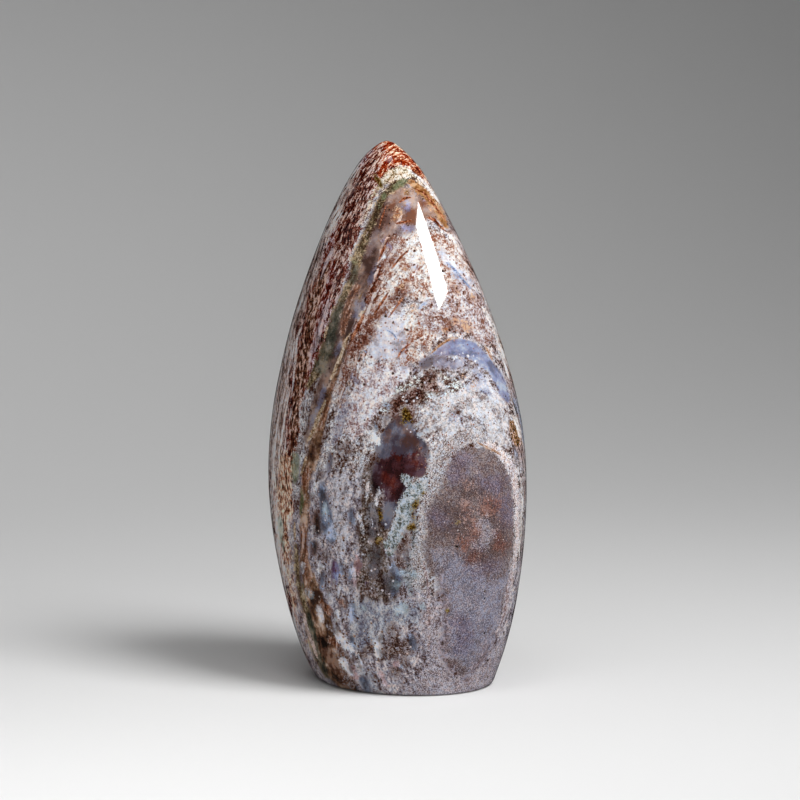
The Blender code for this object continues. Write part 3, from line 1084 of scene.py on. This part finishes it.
layer(
    "white_marks", "#6D6466 #8F8C8E #ACAAAF #C2C1C9 #DEDCE1", lit=0.67,
    strokes=[
        [(320, 608, 2.8), (323, 621, 2)], [(303, 564, 1.5), (303, 571, 1.5)],
        [(380, 489, 1.5), (378, 499, 2), (377, 507, 1.2)], [(373, 519, 1.4), (372, 528, 1.3)],
        [(382, 635, 3), (379, 644, 4), (379, 654, 4.5)], [(336, 630, 3.5), (340, 640, 4), (347, 648, 3)],
        [(342, 660, 3.5), (347, 667, 3.5), (352, 674, 3)], [(337, 612, 3), (336, 620, 3)],
        [(357, 653, 1.8), (359, 662, 1.8), (360, 671, 1.2)], [(346, 640, 2), (352, 652, 1.5)],
        [(314, 535, 2), (314, 526, 1.5)], [(317, 484, 2), (313, 492, 2)], [(318, 500, 2)],
        [(322, 565, 3), (318, 575, 2)], [(328, 588, 2), (329, 598, 2)], [(340, 586, 2), (338, 596, 2)],
        [(334, 580, 1.6), (333, 588, 1.6)], [(368, 484, 2), (367, 498, 2)], [(364, 556, 2)],
        [(356, 512, 1.8), (361, 524, 2), (364, 534, 1.4)], [(386, 418, 4), (384, 426, 3)],
        [(374, 436, 3), (378, 442, 3)], [(402, 558, 1.8)],
    ],
    grain="smoke", edge="mottle", ragged=0.45, soft=0.25,
)
layer(
    "ice_patches", "#7F8A9A #939DAD #A3ADBC #B1BAC4 #C8CDD3", lit=0.96,
    strokes=[
        [(417, 432, 2.5), (420, 436, 2)], [(427, 430, 2.5)], [(419, 422, 2)],
        [(376, 424, 2), (377, 430, 2)], [(408, 403, 2)], [(386, 406, 2), (391, 408, 2)],
    ],
    grain="blotches", edge="mottle", ragged=0.8, soft=0.3, cover=0.9,
)

# %% [markdown]
# Then the finest lines, which are thinner than the skin's own points lie apart. For those the skin
# stores on which side of the line it lies and how far off, so that the line between stays sharp.

# %% Fine lines
fine_lines(
    "cream_lines", "#634A33 #7F684D #967F66 #A7937C #B9AA98", lit=0.68,
    strokes=[
        [(350, 333, 0.6), (345, 341, 1.2), (342, 350, 1.2), (339, 360, 1.3), (335, 370, 1.6),
         (331, 380, 1.2)],
        [(325, 400, 1.2), (321, 409, 1.8), (317, 419, 1.8), (313, 430, 1.8), (309, 439, 1.6),
         (306, 446, 1)],
        [(366, 309, 1.2), (359, 316, 1.4)], [(363, 291, 0.8), (359, 300, 1.2)],
        [(308, 452, 0.8), (304, 466, 1.4), (301, 478, 1)], [(296, 520, 0.8), (295, 540, 1.2)],
        [(331, 311, 1), (335, 306, 1)], [(328, 325, 0.8), (324, 338, 1.4)],
    ],
)
fine_lines(
    "bright_lines", "#84716A #9C8981 #AD9A92 #BCAAA1 #CBB9B2", lit=0.75,
    strokes=[
        [(367, 233, 1.4), (364, 242, 1.6)], [(361, 240, 0.8), (358, 246, 0.8)],
        [(364, 209, 1.2), (362, 218, 1.6), (358, 226, 1)], [(391, 233, 1), (384, 244, 2), (380, 254, 1.4)],
        [(402, 216, 1), (394, 230, 1.6)], [(379, 268, 0.8), (374, 280, 1.2)],
        [(366, 346, 0.8), (362, 358, 1.2)],
        [(302, 606, 0.8), (306, 625, 1.6), (313, 645, 1.6), (318, 658, 1)],
        [(296, 588, 0.8), (299, 606, 1.2)], [(353, 178, 0.8), (350, 190, 1.2)],
    ],
)
fine_lines(
    "rust_lines", "#4D1C0C #73331A #934B2A #B06C49 #D59C7C", lit=1.19,
    strokes=[
        [(399, 202, 0.8), (404, 198, 1.6), (411, 196, 1.4)],
        [(397, 224, 1), (404, 222, 1.5), (411, 220, 1)],
        [(413, 187, 0.6), (424, 192, 1.2), (431, 201, 1.4), (438, 211, 1.2), (446, 220, 1)],
        [(427, 218, 1), (434, 220, 2.4), (440, 226, 2.2), (447, 232, 1)],
        [(386, 206, 0.6), (382, 218, 1), (379, 228, 0.6)],
        [(410, 344, 0.6), (402, 351, 1.2), (397, 358, 0.6)],
        [(410, 164, 1), (416, 172, 2.2), (422, 178, 1)], [(392, 151, 0.8), (400, 151, 1.4)],
        [(394, 158, 0.8), (401, 157, 1.2), (406, 160, 0.8)],
        [(350, 343, 0.8), (358, 326, 1.5), (366, 312, 1.2)],
        [(372, 318, 0.8), (380, 304, 1.6), (388, 292, 1)],
        [(378, 262, 0.8), (383, 249, 1.5), (389, 238, 0.8)],
        [(388, 318, 0.6), (397, 306, 1.4), (404, 297, 0.8)],
        [(392, 268, 0.8), (400, 258, 1.4), (409, 250, 0.8)],
    ],
)
fine_lines(
    "arch_rim", "#815633 #9E7049 #B18765 #C09E86 #CFBDB2", lit=1.1,
    strokes=[
        [(431, 354, 0.8), (437, 347, 1.3), (444, 342, 1.3), (452, 338, 1.2), (458, 338, 0.6)],
        [(477, 441, 0.6), (486, 446, 1.2), (496, 452, 1.2), (502, 456, 0.6)],
        [(484, 346, 0.8), (489, 354, 1.6), (492, 360, 0.8)],
    ],
)
fine_lines(
    "blue_veins", "#647393 #7D8AAC #97A4C2 #ACB7D1 #C6CFE2", lit=1.07,
    strokes=[
        [(363, 349, 0.6), (368, 354, 1.4), (375, 354, 1.2), (382, 351, 0.6)],
        [(386, 330, 0.6), (393, 334, 1), (398, 340, 1.2), (404, 341, 0.6)],
        [(404, 331, 1.6), (410, 331, 1.2)],
        [(446, 262, 0.8), (456, 272, 1.4), (466, 283, 1.2), (472, 290, 0.6)],
        [(376, 360, 0.6), (384, 358, 1.2), (390, 356, 0.6)], [(419, 308, 1.4), (426, 303, 1.4)],
    ],
)
fine_lines(
    "edge_lines", "#9F9591 #B8B2AF #CAC6C4 #D8D6D5 #E6E6E6", lit=0.87,
    strokes=[
        [(410, 170, 0.8), (424, 182, 1.4), (433, 193, 1.2), (440, 204, 0.8)],
        [(480, 304, 0.8), (487, 314, 2), (493, 326, 2), (498, 340, 1.4)],
        [(502, 352, 0.8), (506, 366, 1.2), (509, 380, 0.8)],
        [(511, 412, 0.8), (516, 424, 1.4), (520, 438, 0.8)],
        [(521, 476, 0.8), (522, 500, 1.2), (521, 530, 1), (519, 556, 0.6)],
    ],
)
fine_lines(
    "pink_edge_line", "#675351 #7E6A6B #938283 #A69A9D #BDB6BA", lit=0.79,
    strokes=[
        [(512, 570, 1), (508, 590, 2), (506, 606, 2.2), (502, 620, 1.6), (495, 636, 1)],
        [(424, 560, 0.8), (428, 590, 1.6), (430, 620, 1.8), (428, 650, 1)],
    ],
)
fine_lines(
    "black_flakes", "#1A0E0A #2A1A14 #3E2C26 #54443E #766864", lit=0.87,
    strokes=[
        [(455, 546, 1), (459, 547, 1.4)], [(456, 522, 1.8), (460, 526, 1.4)],
        [(488, 481, 1.8), (489, 484, 1)],
        [(464, 528, 1.4), (467, 526, 1)], [(430, 531, 1.4), (431, 535, 1)],
        [(501, 611, 1.2), (501, 614, 0.8)],
        [(504, 632, 1.2), (504, 635, 0.8)], [(396, 546, 1.2), (397, 548, 1.2)],
        [(411, 614, 1.4), (413, 616, 1)],
    ],
)

# %% [markdown]
# Last come single grains. They are strewn by chance: each takes one cell of a three-dimensional pattern
# of cells, and only some cells hold a grain.

# %% Strewn grains
UPPER_WHITE = [
    (392, 236), (420, 232), (470, 250), (492, 320), (500, 360), (440, 340), (400, 380), (372, 372),
    (352, 400),
    (340, 380), (366, 330), (380, 300), (384, 262),
]
WHOLE_FACE = [
    (380, 190), (440, 200), (520, 380), (528, 500), (500, 680), (330, 690), (296, 560), (296, 460),
    (330, 330),
]
layer(
    "rust_grains", "#3A1408 #5C2A18 #7C4630 #965E44 #B07C60", lit=1.06,
    areas=[UPPER_WHITE], edge="blotches", ragged=2.0, soft=0.5,
    grain="grains", scatter=("coarse", 0.30, 0.52),
)
layer(
    "rust_dust", "#4A1E10 #6A3420 #84503C #9C6C58 #B89080", lit=1.02,
    areas=[
        UPPER_WHITE,
        [(420, 284), (460, 280), (486, 300), (500, 350), (470, 342), (420, 336)],
        [(336, 366), (372, 366), (380, 400), (360, 450), (330, 450)],
        [(430, 395), (470, 390), (500, 410), (505, 440), (470, 446), (440, 470), (430, 500), (420, 480)],
    ],
    edge="blotches", ragged=2.0, soft=0.5, grain="grains", scatter=("fine", 0.30, 0.55),
)
layer(
    "dark_grains", "#1A100C #32241E #4A3A34 #64544E #827470", lit=0.87,
    areas=[WHOLE_FACE], shells=((0.0, 55.0),), grain="grains", scatter=("coarse", 0.10, 0.42),
)
layer(
    "brown_grains", "#2E1C14 #4A3024 #64483A #7E6456 #9C867A", lit=0.69,
    areas=[
        [(330, 440), (372, 440), (380, 520), (396, 600), (424, 600), (424, 680), (350, 690), (318, 600),
         (308, 520)],
    ],
    edge="blotches", ragged=2.0, soft=0.5, grain="grains", scatter=("coarse", 0.34, 0.52),
)
layer(
    "white_grains", "#B8BCC8 #CCD0DA #DEE0E8 #ECEEF2 #FFFFFF", lit=1.09,
    areas=[
        [(442, 353), (452, 352), (466, 352), (478, 358), (482, 364), (470, 364), (454, 360), (444, 360)],
        [(430, 360), (442, 361), (446, 366), (432, 367)],
        [(400, 396), (416, 392), (424, 402), (414, 410), (404, 404)],
        [(484, 374), (494, 380), (500, 392), (494, 398), (486, 390)],
    ],
    edge="grains", ragged=0.5, soft=0.2, grain="grains", scatter=("coarse", 0.72, 0.62),
)
layer(
    "pale_grains", "#797478 #939096 #A9A5AD #BAB9BF #D0CED5", lit=0.76,
    areas=[
        [(360, 470), (376, 462), (382, 500), (390, 540), (396, 600), (362, 600), (356, 540)],
        [(384, 400), (424, 380), (448, 376), (440, 400), (418, 428), (410, 436), (396, 420)],
        [(300, 480), (330, 470), (330, 560), (312, 560)],
        [(386, 620), (420, 620), (420, 680), (386, 680)],
    ],
    edge="blotches", ragged=1.5, soft=0.4, grain="grains", scatter=("coarse", 0.20, 0.46),
)
layer(
    "eye_grains", "#6E4A3C #8C6A5C #A88E86 #BCA8A4 #D8CCCA", lit=0.92,
    areas=[
        [
            (470, 450), (500, 458), (512, 500), (512, 560), (480, 640), (456, 660), (440, 580), (430, 520),
            (446, 470),
        ],
    ],
    edge="blotches", ragged=2.0, soft=0.8, grain="powder", cover=0.8, scatter=("fine", 0.16, 0.50),
)
print(len(layers), "layers of pattern")

# %% [markdown]
# Now the stone itself. Polished chalcedony is quartz so fine-grained that it takes a glassy gloss. Its
# index of refraction is 1.54, and its roughness after the last polish is very low. The colour is built
# up like the stone: for each layer a noise picks one of its tones, and the layer's stored distance,
# roughened by a noise too, decides where it shows. Grain sizes are real ones: flecks of 2 by 0.6 mm
# drawn out along the shells, stripes of 12 by 0.8 mm, a mottle of 4.6 by 2 mm that breaks up into ever
# finer grains, and powder of 0.38 mm. Strewn grains take at most one cell each of a pattern of cells
# 1.15 or 0.62 mm across. Last, a faint stain, cooler here and warmer there, goes over all of it.
# The layers sit in node groups of ten, because wiring one very large tree is slow. Their sums are left
# unclamped, because each mix clamps its own share, and that keeps the material within the renderer's
# limits.

# %% The polished jasper
CHALCEDONY_IOR = 1.54
POLISH_ROUGHNESS = 0.05
FLECK_SIZE = (2.0, 0.6)  # mm along and across the shells
STRIPE_SIZE = (12.0, 0.8)
STREAK_SIZE = (8.0, 1.5)
MOTTLE_SIZE = (4.6, 2.0)
CLUMP_SIZE = (3.2, 2.0)
GRAIN_SIZE = 0.8
POWDER_SIZE = 0.38
BLOTCH_SIZE = 4.5
SMOKE_SIZE = 6.5
STAIN_SIZE = 1.3
COARSE_CELL = 1.15
FINE_CELL = 0.62
GRAIN_EDGE = 0.10  # in cells
LAYERS_IN_GROUP = 10
NOISE_MIDDLE = 0.5
NOISE_REACH = 0.13  # nearly all of a noise lies this near to its middle
COOL_STAIN = [0.91, 0.98, 1.08, 1.0]  # what the colour is multiplied by
CLEAN = [1.0, 1.0, 1.0, 1.0]
WARM_STAIN = [1.10, 0.98, 0.90, 1.0]


def ramp_up(tree, value, start, end):
    """A straight ramp that is 0 where the value is start, and 1 where it is end. It goes on beyond both."""
    gain = 1 / (end - start)
    return add(
        tree, "ShaderNodeMath", {0: value, 1: gain, 2: -start * gain}, operation="MULTIPLY_ADD"
    ).outputs[0]


def least(tree, first, second):
    return add(tree, "ShaderNodeMath", {0: first, 1: second}, operation="MINIMUM").outputs[0]


def jasper_noises(tree):
    """The grain patterns that the layers share, each spread over 0 to 1, and the scattered grains."""
    place = add(tree, "ShaderNodeTexCoord").outputs["Object"]
    in_mm = add(tree, "ShaderNodeMapping", {"Vector": place, "Scale": (1 / MM, 1 / MM, 1 / MM)}).outputs[0]
    level = add(tree, "ShaderNodeAttribute", attribute_name="shell_level").outputs["Fac"]

    def even(size, detail, rough=0.6):
        return add(
            tree, "ShaderNodeTexNoise",
            {"Vector": in_mm, "Scale": 1 / size, "Detail": detail, "Roughness": rough},
        ).outputs["Fac"]

    def drawn(size, detail, rough=0.6):
        """A noise of the given size along and across the shells."""
        along_shell = add(tree, "ShaderNodeMapping", {"Vector": in_mm, "Scale": (1 / size[0],) * 3})
        across_shell = add(tree, "ShaderNodeMath", {0: level, 1: 1 / size[1]}, operation="MULTIPLY")
        return add(
            tree, "ShaderNodeTexNoise",
            {
                "Vector": along_shell.outputs[0], "W": across_shell.outputs[0],
                "Scale": 1.0, "Detail": detail, "Roughness": rough,
            },
            noise_dimensions="4D",
        ).outputs["Fac"]

    def mixed(first, second, share):
        return add(tree, "ShaderNodeMix", {0: share, 2: first, 3: second}, data_type="FLOAT").outputs[0]

    def spread(noise_value, *shares):
        """The noise spread over 0 to 1. A mix of more parts, in these shares, has a narrower range."""
        reach = NOISE_REACH * math.sqrt(sum(share**2 for share in shares))
        return ramp_up(tree, noise_value, NOISE_MIDDLE - reach, NOISE_MIDDLE + reach)

    flecks, streaks, stripes = drawn(FLECK_SIZE, 2.0), drawn(STREAK_SIZE, 2.0), drawn(STRIPE_SIZE, 2.0)
    mottle, clumps = drawn(MOTTLE_SIZE, 5.0, 0.72), drawn(CLUMP_SIZE, 2.0)
    grains, powder = even(GRAIN_SIZE, 2.0), even(POWDER_SIZE, 1.0)
    blotches, smoke = even(BLOTCH_SIZE, 5.0, 0.7), even(SMOKE_SIZE, 4.0)
    fine = mixed(grains, powder, 0.45)
    coarse_cells = add(tree, "ShaderNodeTexVoronoi", {"Vector": in_mm, "Scale": 1 / COARSE_CELL})
    fine_cells = add(tree, "ShaderNodeTexVoronoi", {"Vector": in_mm, "Scale": 1 / FINE_CELL})
    return {
        "flecks": spread(mixed(mixed(flecks, streaks, 0.3), powder, 0.22), 0.55, 0.23, 0.22),
        "stripes": spread(mixed(mixed(stripes, flecks, 0.4), powder, 0.22), 0.47, 0.31, 0.22),
        "mottle": spread(mixed(mottle, fine, 0.48), 0.52, 0.27, 0.21),
        "grains": spread(mixed(fine, clumps, 0.34), 0.36, 0.30, 0.34),
        "powder": spread(mixed(powder, blotches, 0.3), 0.7, 0.3),
        "blotches": spread(mixed(mottle, blotches, 0.6), 0.4, 0.6),
        "smoke": spread(mixed(mixed(smoke, streaks, 0.3), powder, 0.1), 0.63, 0.27, 0.1),
        "stain": spread(even(STAIN_SIZE, 4.0, 0.75), 1.0),
        "coarse_distance": coarse_cells.outputs["Distance"],
        "coarse_luck": add(tree, "ShaderNodeSeparateColor", {0: coarse_cells.outputs["Color"]}).outputs[0],
        "fine_distance": fine_cells.outputs["Distance"],
        "fine_luck": add(tree, "ShaderNodeSeparateColor", {0: fine_cells.outputs["Color"]}).outputs[0],
    }


def in_grains(tree, noises, scatter, shown):
    """Keeps a layer only in strewn grains: (cell pattern, share of its cells, largest radius in cells)."""
    pattern, share, radius = scatter
    distance, luck = noises[pattern + "_distance"], noises[pattern + "_luck"]
    reach = add(
        tree, "ShaderNodeMath",
        {0: luck, 1: radius / share, 2: radius * (share - 1) / share}, operation="MULTIPLY_ADD",
    ).outputs[0]
    left = add(tree, "ShaderNodeMath", {0: reach, 1: distance}, operation="SUBTRACT").outputs[0]
    return least(tree, shown, ramp_up(tree, left, 0.0, GRAIN_EDGE))


def inside_layer(tree, item):
    """How far inside a layer the shaded point lies, in mm."""
    stored = add(tree, "ShaderNodeAttribute", attribute_name=item["name"]).outputs["Fac"]
    if item["kind"] == "patches":
        return stored
    room = add(tree, "ShaderNodeAttribute", attribute_name=item["name"] + "_room").outputs["Fac"]
    off_line = add(tree, "ShaderNodeMath", {0: stored}, operation="ABSOLUTE").outputs[0]
    return add(tree, "ShaderNodeMath", {0: room, 1: off_line}, operation="SUBTRACT").outputs[0]


def lay_on(tree, colour, noises, item):
    """Mixes one layer over the colour so far."""
    tone = add(
        tree, "ShaderNodeValToRGB", {"Fac": noises[item["grain"]]}, stops=item["tones"]
    ).outputs["Color"]
    reach = add(
        tree, "ShaderNodeMath",
        {0: noises[item["edge"]], 1: 2 * item["ragged"], 2: inside_layer(tree, item)},
        operation="MULTIPLY_ADD",
    ).outputs[0]
    shown = ramp_up(tree, reach, item["ragged"] - item["soft"], item["ragged"] + item["soft"])
    if item["scatter"]:
        shown = in_grains(tree, noises, item["scatter"], shown)
    if item["cover"] < 1:
        shown = least(tree, shown, item["cover"])
    return add(tree, "ShaderNodeMix", {0: shown, 6: colour, 7: tone}, data_type="RGBA").outputs[2]


def layer_group(name, items, patterns):
    """A node group that lays some layers over a colour. It takes the colour and the noise patterns."""
    group = bpy.data.node_groups.new(name, "ShaderNodeTree")
    group.interface.new_socket("colour", in_out="INPUT", socket_type="NodeSocketColor")
    for pattern in patterns:
        group.interface.new_socket(pattern, in_out="INPUT", socket_type="NodeSocketFloat")
    group.interface.new_socket("colour", in_out="OUTPUT", socket_type="NodeSocketColor")
    taken = add(group, "NodeGroupInput")
    noises = {pattern: taken.outputs[pattern] for pattern in patterns}
    colour = taken.outputs["colour"]
    for item in items:
        colour = lay_on(group, colour, noises, item)
    add(group, "NodeGroupOutput", {"colour": colour})
    return group


def jasper_material():
    material = bpy.data.materials.new("polished_ocean_jasper")
    material.use_nodes = True
    tree = material.node_tree
    tree.nodes.clear()
    noises = jasper_noises(tree)
    patterns = [pattern for pattern in noises if pattern != "stain"]
    colour = add(tree, "ShaderNodeValToRGB", {"Fac": noises["flecks"]}, stops=GROUND_TONES).outputs["Color"]
    for first in range(0, len(layers), LAYERS_IN_GROUP):
        items = layers[first : first + LAYERS_IN_GROUP]
        group = layer_group("from_" + items[0]["name"], items, patterns)
        laid = add(
            tree, "ShaderNodeGroup",
            {"colour": colour, **{pattern: noises[pattern] for pattern in patterns}}, node_tree=group,
        )
        colour = laid.outputs["colour"]
    stain = add(
        tree, "ShaderNodeValToRGB", {"Fac": noises["stain"]},
        stops=list(zip(TONE_PLACES[::2], (COOL_STAIN, CLEAN, WARM_STAIN))),
    ).outputs["Color"]
    colour = add(
        tree, "ShaderNodeMix", {0: 1.0, 6: colour, 7: stain}, data_type="RGBA", blend_type="MULTIPLY",
        clamp_result=True,
    ).outputs[2]
    surface = add(
        tree, "ShaderNodeBsdfPrincipled",
        {"Base Color": colour, "Roughness": POLISH_ROUGHNESS, "IOR": CHALCEDONY_IOR, "Metallic": 0.0},
    )
    add(tree, "ShaderNodeOutputMaterial", {"Surface": surface.outputs["BSDF"]})
    return material


skin.materials.clear()
skin.materials.append(jasper_material())
print("jasper material:", len(skin.materials[0].node_tree.nodes), "nodes")

# %% [markdown]
# The studio is a round sweep of matt pale paper: a flat floor that rises very gently, like a bowl, and
# then curves up into a wall. It is the same on every side, so that the stone can be looked at from all
# round, and the slow rise leaves no line where floor and wall meet. A spin of one profile makes it.
# The paper is kept out of the polish. A photographer does that with black cards or a polarising filter,
# and without it a grey veil would lie over the stone's deep colours.

# %% The paper sweep
STONE_RING = 0.12
FLAT_RADIUS = 0.35
BOWL_RADIUS = 1.6
BOWL_RISE = 0.26  # metres of height for each square metre beyond the flat
WALL_CURVE = 0.8
WALL_TOP = 2.6
SEAM_DISTANCE = 0.01 * MM
SWEEP_STEPS = 96
CURVE_STEPS = 24


def paper_sweep():
    sweep = bmesh.new()
    profile = [(0.0, 0.0), (STONE_RING, 0.0)]
    for step in range(CURVE_STEPS + 1):
        out = FLAT_RADIUS + (BOWL_RADIUS - FLAT_RADIUS) * step / CURVE_STEPS
        profile.append((out, BOWL_RISE * (out - FLAT_RADIUS) ** 2))
    bowl_height = profile[-1][1]
    slope = math.atan(2 * BOWL_RISE * (BOWL_RADIUS - FLAT_RADIUS))
    for step in range(1, CURVE_STEPS + 1):
        turn = slope + (math.pi / 2 - slope) * step / CURVE_STEPS
        out = BOWL_RADIUS + WALL_CURVE * (math.sin(turn) - math.sin(slope))
        profile.append((out, bowl_height + WALL_CURVE * (math.cos(slope) - math.cos(turn))))
    profile.append((profile[-1][0], WALL_TOP))
    points = [sweep.verts.new((x, 0.0, z)) for x, z in profile]
    edges = [sweep.edges.new(pair) for pair in zip(points, points[1:])]
    bmesh.ops.spin(
        sweep, geom=points + edges, cent=(0, 0, 0), axis=(0, 0, 1), angle=2 * math.pi,
        steps=SWEEP_STEPS, use_merge=True,
    )
    bmesh.ops.remove_doubles(sweep, verts=sweep.verts, dist=SEAM_DISTANCE)
    bmesh.ops.recalc_face_normals(sweep, faces=sweep.faces)
    if max(sweep.faces, key=lambda face: -face.calc_center_median().z).normal.z < 0:
        bmesh.ops.reverse_faces(sweep, faces=sweep.faces)
    mesh = bpy.data.meshes.new("paper_sweep")
    sweep.to_mesh(mesh)
    sweep.free()
    mesh.shade_smooth()
    sweep_object = bpy.data.objects.new("paper_sweep", mesh)
    bpy.context.scene.collection.objects.link(sweep_object)
    return sweep_object


def paper_material():
    material = bpy.data.materials.new("matt_pale_paper")
    material.use_nodes = True
    tree = material.node_tree
    tree.nodes.clear()
    surface = add(
        tree, "ShaderNodeBsdfPrincipled", {"Base Color": linear("#DCDCDC"), "Roughness": 0.9, "IOR": 1.3}
    )
    add(tree, "ShaderNodeOutputMaterial", {"Surface": surface.outputs["BSDF"]})
    return material


sweep = paper_sweep()
sweep.data.materials.append(paper_material())
sweep.visible_glossy = False

# %% [markdown]
# The main softbox stands close, high to the right of the camera, so it models the stone and its light
# falls off quickly across the floor. It isn't seen in the polish. The key softbox below it is seen
# there and nowhere else, and it is turned a little about its own axis, which gives the highlight on the
# shoulder of the stone its wedge shape. A wide softbox overhead fills in from the front, and another
# light brightens the wall behind, more on the left than on the right. Two weak ones lift the left side
# of the stone and the floor to the left of it.

# %% Soft studio lights
STONE_MIDDLE = (0.0, 0.0, 0.09)
AIR_LIGHT = 0.02


def softbox(name, bearing, height, distance, width, length, watts, aim=STONE_MIDDLE, roll=0.0):
    """An area light at a bearing (0 is behind the camera, 90 to its right) and a height, in degrees."""
    light = bpy.data.lights.new(name, "AREA")
    light.shape = "RECTANGLE"
    light.size, light.size_y = width, length
    light.energy = watts
    lamp = bpy.data.objects.new(name, light)
    across, up = math.radians(bearing), math.radians(height)
    back = Vector((math.sin(across) * math.cos(up), -math.cos(across) * math.cos(up), math.sin(up)))
    lamp.location = Vector(aim) + back * distance
    turned = back.to_track_quat("Z", "Y") @ Quaternion((0.0, 0.0, 1.0), math.radians(roll))
    lamp.rotation_euler = turned.to_euler()
    bpy.context.scene.collection.objects.link(lamp)
    return lamp


key = softbox("key_softbox", 46, 39.5, 0.75, 0.25, 0.19, 6.0, roll=8)
key.visible_diffuse = False
main = softbox("main_softbox", 54, 54, 0.75, 0.30, 0.30, 3.05)
main.visible_glossy = False
main.data.spread = math.radians(130)
overhead = softbox("overhead_softbox", 0, 75, 1.5, 1.6, 0.8, 5.2, aim=(0.0, -0.2, 0.0))
overhead.visible_glossy = False
softbox("wall_light", 66, 24, 1.2, 0.5, 0.5, 2.9, aim=(-1.1, 1.0, 0.4))
softbox("left_fill", -75, 35, 1.3, 0.5, 1.0, 0.28)
floor_light = softbox("floor_softbox", 0, 89, 0.7, 0.35, 0.25, 0.25, aim=(-0.16, -0.24, 0.0))
floor_light.data.spread = math.radians(50)

world = bpy.data.worlds.new("studio_air")
bpy.context.scene.world = world
world.use_nodes = True
air = world.node_tree.nodes["Background"]
air.inputs["Color"].default_value = linear("#FFFFFF")
air.inputs["Strength"].default_value = AIR_LIGHT
bpy.context.scene.view_settings.view_transform = "Standard"
print("softboxes:", len(bpy.data.lights))
